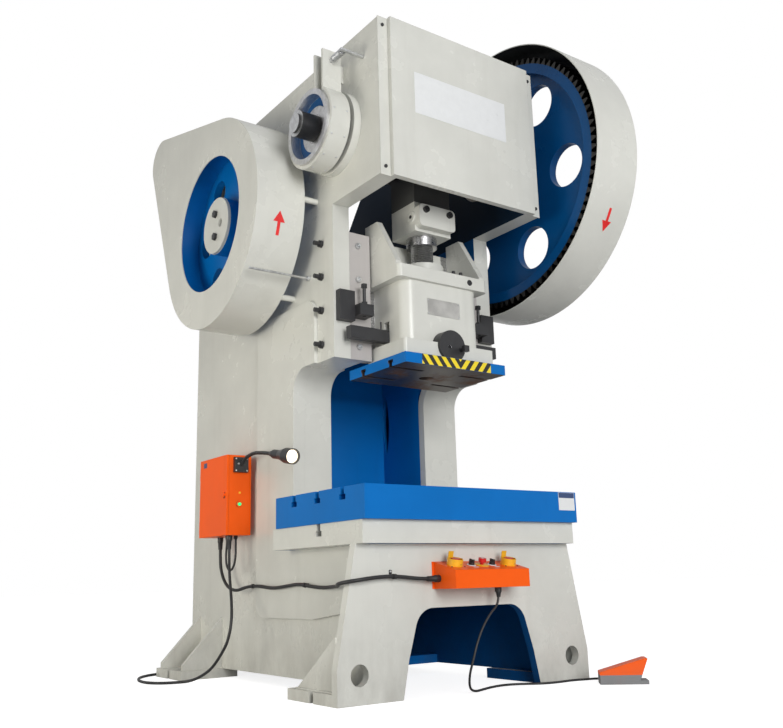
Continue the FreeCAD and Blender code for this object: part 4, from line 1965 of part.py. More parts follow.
def supply_plug(start, heading):
    """Round industrial plug lying on the floor beside the coil."""
    body, neck = float(S.plug_radius), 1.5 * S.supply_radius
    profile = join(cone(neck, 1.3 * neck, "z", (0.0, body), 0.0, 0.0),
                   cone(1.3 * neck, body * 0.8, "z", (body, 1.5 * body), 0.0, 0.0),
                   rod(body * 0.8, "z", (1.5 * body, 2.6 * body), 0.0, 0.0),
                   rod(body, "z", (2.6 * body, 4 * body), 0.0, 0.0))
    cup = rod(body - S.guard_wall, "z", (3 * body, 4 * body), 0.0, 0.0)
    pins = [rod(S.hinge_pin, "z", (3 * body, 3.8 * body), *on_ring(body / 2, 72 * index, 0.0, 0.0))
            for index in range(5)]
    return place(join(cut(profile, cup), *pins), *start, turn=Rotation(Vector(0, 0, 1), heading))


def vectors(points):
    return [Vector(*point) for point in points]


coil_path, plug_start, plug_heading = coil_wire()
coil_entry = coil_path.Edges[0].valueAt(coil_path.Edges[0].FirstParameter)
print("cord_coil: %.1f mm between its turns" % least_gap(coil_path, S.supply_radius))
pedal_entry = PEDAL_TURN.multVec(Vector(
    S.pedal_gland - S.pedal_long / 2, S.pedal_wide / 2 + S.gland_long, float(S.foot_cord_high)))
pedal_entry += Vector(float(S.pedal_side), float(S.pedal_fore), 0)
CORD_NODES = ("control_conduit", "supply_cord", "cord_coil", "supply_plug", "foot_cord")
node("control_conduit", tube(run_arcs(vectors(CONDUIT), "control_conduit"), S.conduit_radius, "Conduit"))
node("supply_cord", tube(run_arcs(vectors(SUPPLY) + [coil_entry], "supply_cord"), S.supply_radius, "Supply"))
node("cord_coil", tube(coil_path, S.supply_radius, "Coil"))
node("supply_plug", supply_plug(plug_start, plug_heading))
node("foot_cord", tube(run_arcs(vectors(FOOT_CORD) + [pedal_entry], "foot_cord"),
                       S.foot_cord_radius, "FootCord"))


# --------------------------------------------------------------------------
# Check every object, then write one file for each node
# --------------------------------------------------------------------------
doc.recompute()
for item in doc.Objects:
    if "Invalid" in item.State or "Error" in item.State:
        raise RuntimeError("%s (%s) failed: %s" % (item.Name, item.Label, item.State))

# the centring shift: the footprint's middle, cords apart, goes to the origin
footprint = FreeCAD.BoundBox()
for name, item in nodes.items():
    if name not in CORD_NODES:
        footprint.add(item.Shape.optimalBoundingBox(False, False))
shift = Vector(-footprint.Center.x, -footprint.Center.y, -footprint.ZMin)
print("shift %.3f %.3f %.3f mm" % tuple(shift))

os.makedirs("parts", exist_ok=True)
for name, item in nodes.items():
    shape = item.Shape.copy()
    shape.translate(shift)
    if shape.isNull() or not shape.isValid() or not shape.Solids:
        raise RuntimeError("%s has no valid solid" % name)
    shape.exportStep("parts/%s.step" % name)
print("%d nodes" % len(nodes))
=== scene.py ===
"""Finishes, cords, plates and small fittings of a mechanical stamping press.

The solids come as a fixed frame.  New pieces are surfaces worked out as whole numpy
arrays: closed rings of points that are lofted, or a section carried along a path.
Places and sizes are machine millimetres until `row` turns them into row metres.
"""
import math

import bmesh
import bpy
import mathutils
import numpy as np
from bpy.props import FloatProperty, FloatVectorProperty, PointerProperty
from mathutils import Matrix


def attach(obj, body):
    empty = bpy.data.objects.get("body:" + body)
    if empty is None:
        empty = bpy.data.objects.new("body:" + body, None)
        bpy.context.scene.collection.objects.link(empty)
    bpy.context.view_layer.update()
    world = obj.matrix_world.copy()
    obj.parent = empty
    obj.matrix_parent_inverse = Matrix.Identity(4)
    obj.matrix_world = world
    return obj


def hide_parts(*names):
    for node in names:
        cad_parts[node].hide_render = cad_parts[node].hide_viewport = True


bl_info = {
    "name": "Stamping Press Dressing",
    "version": (1, 0, 0),
    "blender": (4, 5, 0),
    "location": "3D View > Sidebar > Press",
    "description": "Dresses the solids of a stamping press with finishes, cords and fittings",
    "category": "Object",
}

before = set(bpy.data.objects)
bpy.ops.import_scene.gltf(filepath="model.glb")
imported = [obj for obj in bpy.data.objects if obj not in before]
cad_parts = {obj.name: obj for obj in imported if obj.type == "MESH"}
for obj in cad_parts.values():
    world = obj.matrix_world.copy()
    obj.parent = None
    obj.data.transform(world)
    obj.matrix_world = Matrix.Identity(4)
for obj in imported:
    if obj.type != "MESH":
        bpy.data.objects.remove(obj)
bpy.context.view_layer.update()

SHIFT = np.array((12.5, -804.563, 0.0))  # from the machine's origin to the row's
FRONT, BACK, LEFT, UP, DOWN = (0, -1, 0), (0, 1, 0), (-1, 0, 0), (0, 0, 1), (0, 0, -1)
CRANK, DRIVE = (345.0, 2548.0), (1082.186, 2281.142)  # (y, z) of the crank's and the drive's axis


def row(points):
    """Machine millimetres as row metres: the centring shift is added, then divided by 1000."""
    return (np.asarray(points, float) + SHIFT) / 1000


# --------------------------------------------------------------------------
# Sizes and colours that a user would change
# --------------------------------------------------------------------------
def colour(name, description, value):
    """A colour property."""
    return FloatVectorProperty(name=name, description=description, default=value,
                               subtype="COLOR", size=3, min=0, max=1)


def length(name, description, value, low, high):
    """A length property in metres."""
    return FloatProperty(name=name, description=description, default=value, min=low, max=high,
                         unit="LENGTH")


class PressFinishes(bpy.types.PropertyGroup):
    """Colours of the press."""
    enamel: colour("Frame enamel", "Off-white enamel of the frame, slide and guards", (0.66, 0.66, 0.61))
    blue: colour("Blue enamel", "Enamel of the bolster, gear, flywheel and throat", (0.001, 0.152, 0.50))
    orange: colour("Orange coat", "Powder coat of the boxes and the pedal", (0.95, 0.115, 0.006))
    yellow: colour("Yellow guards", "Moulded guards of the palm buttons", (0.86, 0.46, 0.012))
    red: colour("Red", "Buttons and turning arrows", (0.62, 0.012, 0.012))


class PressFittings(bpy.types.PropertyGroup):
    """Sizes of the weld beads and painted edges."""
    bead: length("Weld bead", "Half width of a weld bead", 0.006, 0.002, 0.02)
    edge: length("Painted edge", "Rounding that the enamel shows at edges", 0.0025, 0.0005, 0.01)


# --------------------------------------------------------------------------
# Shader nodes and groups
# --------------------------------------------------------------------------
def add(tree, kind, **values):
    """A node with its sockets and settings filled in by name; a socket as value is linked."""
    item = tree.nodes.new(kind)
    for key, value in values.items():
        if key not in item.inputs:
            setattr(item, key, value)
        elif isinstance(value, bpy.types.NodeSocket):
            tree.links.new(value, item.inputs[key])
        else:
            item.inputs[key].default_value = value
    return item


def calc(tree, operation, a, b=None, clamp=False):
    """A Math node over numbers or sockets."""
    item = add(tree, "ShaderNodeMath", operation=operation, use_clamp=clamp)
    for index, value in enumerate((a, b)):
        if isinstance(value, bpy.types.NodeSocket):
            tree.links.new(value, item.inputs[index])
        elif value is not None:
            item.inputs[index].default_value = value
    return item.outputs[0]


def times(tree, first, *others):
    """The product of numbers and sockets."""
    for other in others:
        first = calc(tree, "MULTIPLY", first, other)
    return first


def plus(tree, a, b, clamp=False):
    """The sum of two numbers or sockets, kept within 0 and 1 if `clamp`."""
    return calc(tree, "ADD", a, b, clamp)


def ramp(tree, value, low, high):
    """0 below `low`, 1 above `high`, smooth between."""
    return add(tree, "ShaderNodeMapRange", interpolation_type="SMOOTHSTEP", Value=value,
               **{"From Min": low, "From Max": high}).outputs["Result"]


def place(tree, scale=None):
    """Object coordinates, stretched by a scale on each axis if one is given."""
    where = add(tree, "ShaderNodeTexCoord").outputs["Object"]
    if scale is None:
        return where
    return add(tree, "ShaderNodeMapping", Vector=where, Scale=scale).outputs["Vector"]


def coordinate(tree, axis):
    """One of the three object coordinates."""
    return add(tree, "ShaderNodeSeparateXYZ", Vector=place(tree)).outputs[axis]


def noise(tree, vector, scale, detail=3.0, roughness=0.5):
    """Cloudy noise between 0 and 1."""
    return add(tree, "ShaderNodeTexNoise", Vector=vector, Scale=scale, Detail=detail,
               Roughness=roughness).outputs["Fac"]


def tinted(rgb, factor):
    """A colour made lighter or darker."""
    return tuple(min(1.0, channel * factor) for channel in rgb)


def blended(tree, amount, below, above):
    """Colour `below` with `above` laid over it by a mask."""
    item = add(tree, "ShaderNodeMix", data_type="RGBA")
    for index, value in ((0, amount), (6, below), (7, above)):
        if isinstance(value, bpy.types.NodeSocket):
            tree.links.new(value, item.inputs[index])
        else:
            item.inputs[index].default_value = value if index == 0 else (*value, 1.0)
    return item.outputs[2]


def new_group(name, **inputs):
    """A shader group with named inputs and their values: its tree and the inputs' sockets."""
    tree = bpy.data.node_groups.new(name, "ShaderNodeTree")
    for label, value in inputs.items():
        tree.interface.new_socket(label, in_out="INPUT", socket_type="NodeSocketFloat").default_value = value
    return tree, tree.nodes.new("NodeGroupInput").outputs


def give(tree, **results):
    """The group's named outputs, each of the kind of the socket that feeds it."""
    for label, source in results.items():
        kind = "NodeSocketVector" if source.type == "VECTOR" else "NodeSocketFloat"
        tree.interface.new_socket(label, in_out="OUTPUT", socket_type=kind)
    ends = tree.nodes.new("NodeGroupOutput").inputs
    for label, source in results.items():
        tree.links.new(source, ends[label])


def grouped(tree, name, **values):
    """A group placed in a material with its own values: its outputs."""
    return add(tree, "ShaderNodeGroup", node_tree=bpy.data.node_groups[name], **values).outputs


def make_edge_group(radius):
    """Rounded normal at edges, and a broken mask where the paint is thin on them."""
    tree, given = new_group("Worn Edge", Radius=radius, Wear=0.4)
    rounded = add(tree, "ShaderNodeBevel", samples=4, Radius=given["Radius"]).outputs[0]
    dot = add(tree, "ShaderNodeVectorMath", operation="DOT_PRODUCT")
    tree.links.new(rounded, dot.inputs[0])
    tree.links.new(add(tree, "ShaderNodeNewGeometry").outputs["Normal"], dot.inputs[1])
    edge = ramp(tree, calc(tree, "SUBTRACT", 1.0, dot.outputs["Value"]), 0.06, 0.26)
    broken = ramp(tree, noise(tree, place(tree), 38.0, detail=6.0, roughness=0.7), 0.52, 0.66)
    give(tree, Normal=rounded, Mask=times(tree, edge, broken, given["Wear"]))


def make_weather_group():
    """Mottle of the paint, upright run marks, and dust that gathers near the floor."""
    tree, given = new_group("Workshop Grime", Runs=0.5, **{"Floor Height": 0.5})
    mottle = noise(tree, place(tree), 2.6, detail=5.0, roughness=0.6)
    upright = noise(tree, place(tree, (9, 9, 0.8)), 1.0, detail=5.0, roughness=0.62)
    runs = times(tree, ramp(tree, upright, 0.52, 0.74), given["Runs"])
    share = calc(tree, "DIVIDE", coordinate(tree, "Z"), given["Floor Height"])
    low = calc(tree, "SUBTRACT", 1.0, share, True)
    blown = ramp(tree, noise(tree, place(tree, (4, 4, 2)), 2.0, detail=6.0, roughness=0.65), 0.3, 0.75)
    give(tree, Mottle=mottle, Runs=runs, Dust=times(tree, low, low, blown))


def make_grain_group():
    """Height of a sprayed or cast skin: fine peel over a slow wave."""
    tree, given = new_group("Sprayed Skin", Scale=260.0, Wave=6.0)
    fine, slow = (noise(tree, place(tree), given[socket], detail=2.0) for socket in ("Scale", "Wave"))
    give(tree, Height=plus(tree, times(tree, fine, 0.25), slow))


def make_tool_mark_group():
    """Height and tone of machining marks: noise drawn out along one axis."""
    tree, given = new_group("Tool Marks", Along=4.0, Across=220.0)
    drawn = add(tree, "ShaderNodeCombineXYZ", **{
        axis: times(tree, coordinate(tree, axis), given[socket])
        for axis, socket in (("X", "Along"), ("Y", "Across"), ("Z", "Across"))})
    give(tree, Height=noise(tree, drawn.outputs[0], 1.0, roughness=0.6),
         Tone=noise(tree, place(tree), 7.0, detail=6.0, roughness=0.65))


# --------------------------------------------------------------------------
# Materials
# --------------------------------------------------------------------------
BARE_EDGE = (0.09, 0.085, 0.08)  # dull steel where the paint is chipped


def new_material(name):
    """A material, its node tree and its shader."""
    material = bpy.data.materials.new(name)
    material.use_nodes = True
    return material, material.node_tree, material.node_tree.nodes["Principled BSDF"]


def surfaced(tree, shader, base, rough, bump=None):
    """Link a colour, a roughness and a bump to the shader."""
    tree.links.new(base, shader.inputs["Base Color"])
    tree.links.new(rough, shader.inputs["Roughness"])
    if bump:
        tree.links.new(bump.outputs[0], shader.inputs["Normal"])


def enamel(name, rgb, roughness=0.36, runs=0.35, wear=0.35, floor_height=0.55, peel=0.0016,
           dust=(0.17, 0.155, 0.13), grime=(0.19, 0.17, 0.13), gloss=0.4, lower=None):
    """Sprayed enamel: mottled colour, run marks, dust low down and chips along edges.

    `lower` is (colour, height): the surface below that height has the other colour.
    """
    material, tree, shader = new_material(name)
    weather = grouped(tree, "Workshop Grime", Runs=runs, **{"Floor Height": floor_height})
    edge = grouped(tree, "Worn Edge", Wear=wear)
    tone = ramp(tree, weather["Mottle"], 0.3, 0.7)
    paint = blended(tree, tone, tinted(rgb, 0.94), tinted(rgb, 1.03))  # faint mottle
    if lower:
        paint = blended(tree, calc(tree, "GREATER_THAN", coordinate(tree, "Z"), lower[1]), lower[0], paint)
    soiled = tuple(0.6 * a + 0.4 * b for a, b in zip(rgb, grime))
    paint = blended(tree, times(tree, weather["Runs"], 0.5), paint, soiled)
    paint = blended(tree, times(tree, weather["Dust"], 0.4), paint, dust)
    paint = blended(tree, edge["Mask"], paint, BARE_EDGE)
    rough = plus(tree, times(tree, tone, 0.08), roughness - 0.04)
    rough = plus(tree, rough, times(tree, weather["Dust"], 0.3), True)
    skin = grouped(tree, "Sprayed Skin")["Height"]
    surfaced(tree, shader, paint, rough, add(tree, "ShaderNodeBump", Strength=0.5, Distance=peel,
                                             Height=skin, Normal=edge["Normal"]))
    shader.inputs["Specular IOR Level"].default_value = gloss
    return material


def machined(name, rgb, roughness=0.32, along=4.0, across=220.0, stain=(0.12, 0.07, 0.04), stained=0.2,
             depth=0.0004):
    """Cut or ground steel: fine marks, oil stains and bright rounded edges."""
    material, tree, shader = new_material(name)
    marks = grouped(tree, "Tool Marks", Along=along, Across=across)
    edge = grouped(tree, "Worn Edge", Radius=0.0015)
    oily = times(tree, ramp(tree, marks["Tone"], 0.45, 0.75), stained)
    cut = blended(tree, ramp(tree, marks["Height"], 0.3, 0.7), tinted(rgb, 0.82), tinted(rgb, 1.08))
    rough = plus(tree, times(tree, marks["Height"], 0.16), roughness - 0.08)
    rough = plus(tree, rough, times(tree, oily, 0.4), True)
    surfaced(tree, shader, blended(tree, oily, cut, stain), rough,
             add(tree, "ShaderNodeBump", Strength=0.35, Distance=depth, Height=marks["Height"],
                 Normal=edge["Normal"]))
    shader.inputs["Metallic"].default_value = 1.0
    return material


def moulded(name, rgb, roughness=0.45, scale=700.0, depth=0.0003, spread=0.12):
    """Moulded plastic, rubber or oxide: even colour, fine texture and soft edges."""
    material, tree, shader = new_material(name)
    edge = grouped(tree, "Worn Edge", Radius=0.001)
    tone = noise(tree, place(tree), 24.0, detail=5.0, roughness=0.6)
    base = blended(tree, ramp(tree, tone, 0.3, 0.7), tinted(rgb, 1 - spread), tinted(rgb, 1 + spread))
    rough = plus(tree, times(tree, tone, 0.14), roughness - 0.07)
    grain = noise(tree, place(tree), scale, detail=2.0)
    surfaced(tree, shader, base, rough, add(tree, "ShaderNodeBump", Strength=0.4, Distance=depth,
                                            Height=grain, Normal=edge["Normal"]))
    return material


def ridged(material, axis, profile, pitch, depth):
    """Ridges along an axis laid over the material's own bump: one wave to a pitch."""
    tree = material.node_tree
    wave = add(tree, "ShaderNodeTexWave", bands_direction=axis, wave_profile=profile, Vector=place(tree),
               Scale=math.pi / 10 / pitch)
    ridges = add(tree, "ShaderNodeBump", Strength=1.0, Distance=depth, Height=wave.outputs["Fac"],
                 Normal=tree.nodes["Bump"].outputs[0])
    tree.links.new(ridges.outputs[0], tree.nodes["Principled BSDF"].inputs["Normal"])
    return material


def banded(name, rgb, other, period, slope, middle, roughness=0.42):
    """Slanting bands of two colours that meet in a V: |X - middle| + slope Z, cut into periods."""
    material, tree, shader = new_material(name)
    out = calc(tree, "ABSOLUTE", calc(tree, "SUBTRACT", coordinate(tree, "X"), middle))
    slant = plus(tree, out, times(tree, coordinate(tree, "Z"), slope))
    # ten metres keep the bands' number above zero everywhere
    part = calc(tree, "FRACT", calc(tree, "DIVIDE", plus(tree, slant, 10.0), period))
    bands = blended(tree, calc(tree, "GREATER_THAN", part, 0.5), rgb, other)
    scuff = ramp(tree, noise(tree, place(tree), 90.0, detail=6.0, roughness=0.7), 0.55, 0.75)
    surfaced(tree, shader, blended(tree, times(tree, scuff, 0.25), bands, (0.2, 0.17, 0.1)),
             plus(tree, times(tree, scuff, 0.2), roughness))
    return material


def lit(name, rgb, strength):
    """A glowing lens with a darker pattern of prisms."""
    material, tree, shader = new_material(name)
    cells = add(tree, "ShaderNodeTexVoronoi", Vector=place(tree), Scale=260.0)
    tone = ramp(tree, cells.outputs["Distance"], 0.1, 0.7)
    tree.links.new(blended(tree, tone, rgb, tinted(rgb, 0.75)), shader.inputs["Base Color"])
    tree.links.new(blended(tree, tone, rgb, tinted(rgb, 0.6)), shader.inputs["Emission Color"])
    shader.inputs["Emission Strength"].default_value = strength
    shader.inputs["Roughness"].default_value = 0.2
    return material


MATERIALS = {}


def make_materials(colours):
    """Fill MATERIALS: the coats from the user's colours, and the bare metals and mouldings."""
    white, blue, orange = tuple(colours.enamel), tuple(colours.blue), tuple(colours.orange)
    yellow, red = tuple(colours.yellow), tuple(colours.red)
    shaded = dict(grime=(0.006, 0.02, 0.05), dust=(0.03, 0.05, 0.08))
    MATERIALS.update(
        enamel=enamel("Frame Enamel", white, roughness=0.25, gloss=0.5),
        blue=enamel("Blue Enamel", blue, roughness=0.34, grime=(0.01, 0.03, 0.06),
                    dust=(0.05, 0.07, 0.1), gloss=0.16),
        # painted shade: blue enamel darkened to 0.62 for blue faces behind the legs, under the table and
        # inside the feet
        deep_blue=enamel("Blue Enamel Inside", tinted(blue, 0.62), roughness=0.4, runs=0.5, gloss=0.12,
                         **shaded),
        # painted shade: blue enamel darkened to 0.48 for the gear and the brake drum
        gear_blue=enamel("Gear Enamel", tinted(blue, 0.48), roughness=0.3, gloss=0.22, **shaded),
        # painted shade: the faces inside the head are near black up from 2.22 m and blue enamel darkened to
        # 0.55 below it, and the rod is dark grey up from 2.262 m
        head_side=enamel("Head Inside Coat", (0.004, 0.018, 0.042), roughness=0.5, runs=0.2, wear=0.1,
                         grime=(0.006, 0.01, 0.02), dust=(0.03, 0.04, 0.06), gloss=0.12,
                         lower=(tinted(blue, 0.55), 2.22)),
        rod_coat=enamel("Rod Coat", (0.10, 0.10, 0.096), roughness=0.42, lower=(white, 2.262)),
        orange=enamel("Orange Powder Coat", orange, runs=0.1, wear=0.15, peel=0.0008,
                      grime=(0.5, 0.06, 0.01), dust=(0.5, 0.12, 0.05), gloss=0.15),
        pedal=enamel("Pedal Coat", orange, roughness=0.4, runs=0.1, wear=0.3, peel=0.001,
                     floor_height=0.12, grime=(0.5, 0.06, 0.01), dust=(0.2, 0.19, 0.17), gloss=0.2,
                     lower=((0.24, 0.25, 0.26), 0.039)),
        gib=enamel("Gib Coat", (0.47, 0.445, 0.43), roughness=0.4, wear=0.6),
        # painted shade: near black for faces inside the head, and for the guards' greasy insides
        inside=enamel("Dark Inside Coat", (0.03, 0.031, 0.032), roughness=0.5, wear=0.1, gloss=0.2),
        yellow=moulded("Yellow Moulding", yellow, roughness=0.4),
        red=moulded("Red Moulding", red, roughness=0.3),
        red_paint=moulded("Red Arrow Paint", tinted(red, 1.25), roughness=0.5),
        # the start button's lens has a painted glow, though it is no lamp
        green=lit("Green Lens", (0.03, 0.75, 0.22), 1.2),
        lamp_lens=lit("Lamp Lens", (1.0, 0.86, 0.66), 2.2),
        steel=machined("Ground Steel", (0.60, 0.60, 0.61), roughness=0.26),
        turned=machined("Turned Face", (0.70, 0.70, 0.71), roughness=0.34, along=220, across=40),
        raw=machined("Planed Underside", (0.17, 0.15, 0.14), roughness=0.42, along=2.5, across=120,
                     stained=0.9, stain=(0.26, 0.11, 0.05), depth=0.0008),
        thread=ridged(machined("Adjusting Thread", (0.62, 0.62, 0.63), stained=0.25,
                               stain=(0.06, 0.05, 0.04)), "Z", "TRI", 0.010, 0.006),
        zinc=machined("Zinc Plate", (0.66, 0.67, 0.68), roughness=0.36, along=60, across=60, stained=0.08),
        black_steel=moulded("Black Oxide", (0.022, 0.022, 0.024), roughness=0.42, scale=400),
        teeth=machined("Greased Teeth", (0.060, 0.058, 0.056), roughness=0.42, stained=0.6,
                       stain=(0.015, 0.012, 0.01)),
        black=moulded("Black Moulding", (0.018, 0.018, 0.019), roughness=0.38),
        rubber=moulded("Cord Rubber", (0.016, 0.016, 0.017), roughness=0.5, scale=900),
        plate=machined("Bare Plate", (0.62, 0.61, 0.58), roughness=0.4, along=12, across=12, stained=0.05),
        white_plate=moulded("White Film", (0.76, 0.77, 0.77), roughness=0.3, spread=0.02),
        neck=ridged(moulded("Bendable Neck", (0.018, 0.018, 0.019), roughness=0.42, scale=300),
                    "Y", "SIN", 0.0045, 0.003),
        navy_film=moulded("Navy Film", (0.03, 0.06, 0.16), roughness=0.35, spread=0.05),
        bronze=machined("Bronze", (0.45, 0.27, 0.10), roughness=0.4),
        stripes=banded("Hazard Stripes", (0.86, 0.66, 0.02), (0.012, 0.012, 0.012), 0.052, -0.75, 0.032),
    )


# The finish that each solid has all over, before the face rules.
NODE_FINISH = {
    "blue": ("bolster", "throat_liner", "base_tie_bar", "flywheel", "motor", "slide_plate"),
    "gear_blue": ("big_gear", "brake_drum"),
    "rod_coat": ("connecting_rod",),
    "enamel": ("left_side_plate", "right_side_plate", "left_throat_flange", "right_throat_flange",
               "rear_plate", "roof_plate", "table_plate", "front_legs", "rear_feet", "slide",
               "rod_cap", "front_cover", "flywheel_guard", "gear_guard", "motor_plate",
               "brake_band", "crank_bearings", "shaft_bearings", "shaft_end_disc"),
    "black_steel": ("shank_clamp", "knockout_bar", "stop_blocks", "rod_screws", "frame_screws",
                    "motor_pulley"),
    "steel": ("crankshaft", "lock_nut", "pinion_shaft"),
    "thread": ("adjusting_screw",),
    "zinc": ("brake_tension_rod", "pedal_treadle"),
    "orange": ("console_box", "electrical_box", "box_door"),
    "pedal": ("pedal_housing",),
    "gib": ("gibs",),
    "red": ("left_palm_button", "right_palm_button", "emergency_button"),
    "green": ("start_button",),
    "black": ("left_selector", "right_selector", "cam_switch", "work_lamp", "supply_plug"),
    "rubber": ("v_belts",),
    "yellow": ("palm_guards",),
}

FACING = 0.7  # a face looks along an axis where its normal has more than this share of it


class Faces:
    """Middles (x, y, z in machine millimetres) and normals (nx, ny, nz) of a mesh's faces."""

    def __init__(self, mesh):
        middles, normals = (np.empty(3 * len(mesh.polygons)) for _ in range(2))
        mesh.polygons.foreach_get("center", middles)
        mesh.polygons.foreach_get("normal", normals)
        self.x, self.y, self.z = (middles.reshape(-1, 3) - SHIFT / 1000).T * 1000
        self.nx, self.ny, self.nz = normals.reshape(-1, 3).T

    def off(self, axis):
        """Distance from an axis along X."""
        return np.hypot(self.y - axis[0], self.z - axis[1])

    def inward(self, axis):
        """Whether a face looks towards an axis along X: its normal's outward share is below -0.3."""
        return self.ny * (self.y - axis[0]) + self.nz * (self.z - axis[1]) < -0.3 * self.off(axis)


# (nodes, finish, rule): the faces that a rule picks take the finish.  The numbers are places
# between one surface of the solid and the next.
FACE_RULES = (
    # the slide plate's underside and the walls of its T-slots
    (("slide_plate",), "raw", lambda f: (f.nz < -FACING) | (f.z < 1455) & (f.z > 1409)
        & (np.abs(f.x) < 294) & (f.y > 109) & (f.y < 565)),
    # the gear's toothed rim
    (("big_gear",), "teeth", lambda f: f.off(CRANK) > 640),
    # the drum's rim and the end of its hub
    (("brake_drum",), "turned", lambda f: (f.off(CRANK) > 152) | (f.off(CRANK) < 112) & (f.x < -600)),
    # the flywheel's grooved rim and the ends of its hub
    (("flywheel",), "turned", lambda f: (f.off(DRIVE) > 505)
        | (f.off(DRIVE) < 152) & (np.abs(f.nx) > 0.9)),
    # the switch's left end
    (("cam_switch",), "zinc", lambda f: (f.nx < -0.9) & (f.x < -710)),
    # the conduit's gland at the console's left end and the cord's gland below it
    (("console_box",), "black", lambda f: (f.x < -206.5) & (np.hypot(f.y - 40, f.z - 470) < 16.5)
        & (f.y < 73) | (f.z < 427.5)),
    # the glands under the box
    (("electrical_box",), "black", lambda f: f.z < 706.5),
    # insides of the guards, round the rims and behind the faces: their grease darkened further as painted
    # shade
    (("gear_guard",), "inside", lambda f: f.inward(CRANK) & (f.off(CRANK) > 600)
        | (f.nx < -FACING) & (f.x > 600)),
    (("flywheel_guard",), "inside", lambda f: f.inward(DRIVE) & (f.off(DRIVE) > 400) & (f.x < -561)
        | (f.nx > FACING) & (f.x < -700)),
    # the bushes' bores, the bolster's top, and painted shade on the sides' faces inside the head
    (("crank_bearings",), "bronze", lambda f: f.off(CRANK) < 112),
    (("bolster",), "steel", lambda f: (f.nz > FACING) & (f.z > 849)),
    (("left_side_plate",), "head_side", lambda f: f.nx > FACING),
    (("right_side_plate",), "head_side", lambda f: f.nx < -FACING),
    # painted shade on the sides' front edges behind the legs, the legs' back and arch, and the rear feet's
    # insides
    (("left_side_plate", "right_side_plate"), "deep_blue",
        lambda f: (f.z < 616) & (f.y < 130) & (f.ny < -FACING)),
    (("front_legs",), "deep_blue", lambda f: (f.ny > FACING) & (np.abs(f.x) < 560) & (f.z > 46)
        | (np.abs(f.ny) < 0.3) & (np.abs(f.x) < 402) & (f.z < 356)),
    (("rear_feet",), "deep_blue", lambda f: np.abs(f.x) < 437),
    # the guide rails
    (("slide",), "steel", lambda f: (f.y > 446.5) & (np.abs(f.x) > 201) & (f.z < 2096)),
    # painted shade on the frame's rear plate and roof, and on the cover, as seen from inside the head
    (("rear_plate",), "head_side", lambda f: f.ny < -FACING),
    (("roof_plate",), "inside", lambda f: f.nz < -FACING),
    (("front_cover",), "inside", lambda f: f.ny > FACING),
    # the gibs' bolts and the guard's stud
    (("frame_screws",), "zinc", lambda f: (f.y < 403) & (np.abs(f.x) < 400) & (f.z > 1400)
        & (f.z < 2100) | (np.hypot(f.y - 620, f.z - 1907) < 40)),
    # the end disc's two bolts and the shank clamp's blind hole
    (("shaft_end_disc",), "black_steel", lambda f: f.x < -774.5),
    (("shank_clamp",), "steel", lambda f: np.hypot(f.x + 18, f.z - 1516) < 9.5),
    # the table's underside with painted shade, the throat flanges' inner faces and the lamp's bendable neck
    (("table_plate",), "deep_blue", lambda f: (f.nz < -FACING) & (np.abs(f.x) < 437)),
    (("left_throat_flange", "right_throat_flange"), "blue",
        lambda f: (f.ny > FACING) | (f.nz > FACING) & (f.z > 1500)),
    (("work_lamp",), "neck", lambda f: (f.y > 856) & (f.y < 1160)),
)


# --------------------------------------------------------------------------
# Surfaces
# --------------------------------------------------------------------------
def ring_faces(count, steps, closed):
    """Faces over an (m, n) grid of ring points, numbered m by n.

    Point (i, j) is joined to its neighbours in the ring and in the next ring; the last
    ring is joined to the first if `closed`, and else both ends are closed flat.
    """
    i, j = np.meshgrid(np.arange(count if closed else count - 1), np.arange(steps), indexing="ij")
    after, above = (j + 1) % steps, (i + 1) % count
    quads = np.stack((i * steps + j, i * steps + after, above * steps + after, above * steps + j), -1)
    faces = quads.reshape(-1, 4).tolist()
    if not closed:
        faces.append(list(range(steps))[::-1])
        faces.append(list(range((count - 1) * steps, count * steps)))
    return faces


DOUBLES = 1e-6  # points nearer than this, in metres, are one
SHARP = math.radians(32)  # edges that turn by more than this stay sharp


def outwards(mesh):
    """Turn the faces out: doubles are merged and the normals worked out again."""
    work = bmesh.new()
    work.from_mesh(mesh)
    bmesh.ops.remove_doubles(work, verts=work.verts, dist=DOUBLES)
    bmesh.ops.recalc_face_normals(work, faces=work.faces)
    work.to_mesh(mesh)
    work.free()


def linked(name, data):
    """An object of the scene."""
    piece = bpy.data.objects.new(name, data)
    bpy.context.scene.collection.objects.link(piece)
    return piece


def fitting(name, finish, solids, body="frame", smooth=True, closed=False):
    """One piece of several solids, each an (m, n, 3) array of rings in row metres."""
    points, faces, start = [], [], 0
    for rings in solids:
        count, steps = rings.shape[:2]
        faces += [[index + start for index in face] for face in ring_faces(count, steps, closed)]
        points.append(rings.reshape(-1, 3))
        start += count * steps
    mesh = bpy.data.meshes.new(name)
    mesh.from_pydata(np.concatenate(points).tolist(), [], faces)
    outwards(mesh)
    if smooth:
        mesh.shade_smooth()
        mesh.set_sharp_from_angle(angle=SHARP)
    mesh.materials.append(MATERIALS[finish])
    piece = linked(name, mesh)
    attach(piece, body)
    return piece


def stood(local, at, normal=FRONT, up=UP):
    """Local millimetres (side, up, outward) stood at a machine point, as row metres.

    Outward is the normal, side is `up` crossed with it, and the last is square to both.
    """
    outward = np.asarray(normal, float) / np.linalg.norm(normal)
    side = np.cross(np.asarray(up, float), outward)
    side /= np.linalg.norm(side)
    axes = np.column_stack((side, np.cross(outward, side), outward))
    return row(local @ axes.T + np.asarray(at, float))


def circle(steps, radius=1.0):
    """Points of a circle: (r cos a, r sin a)."""
    angle = np.arange(steps) * 2 * np.pi / steps
    return np.column_stack((np.cos(angle), np.sin(angle))) * radius


def turned(profile, steps=32):
    """Rings of a turned shape: profile rows are (radius, height) along the outward axis."""
    profile = np.asarray(profile, float)
    rings = profile[:, None, 0:1] * circle(steps)[None]
    heights = np.broadcast_to(profile[:, None, 1:2], (len(profile), steps, 1))
    return np.concatenate((rings, heights), -1)


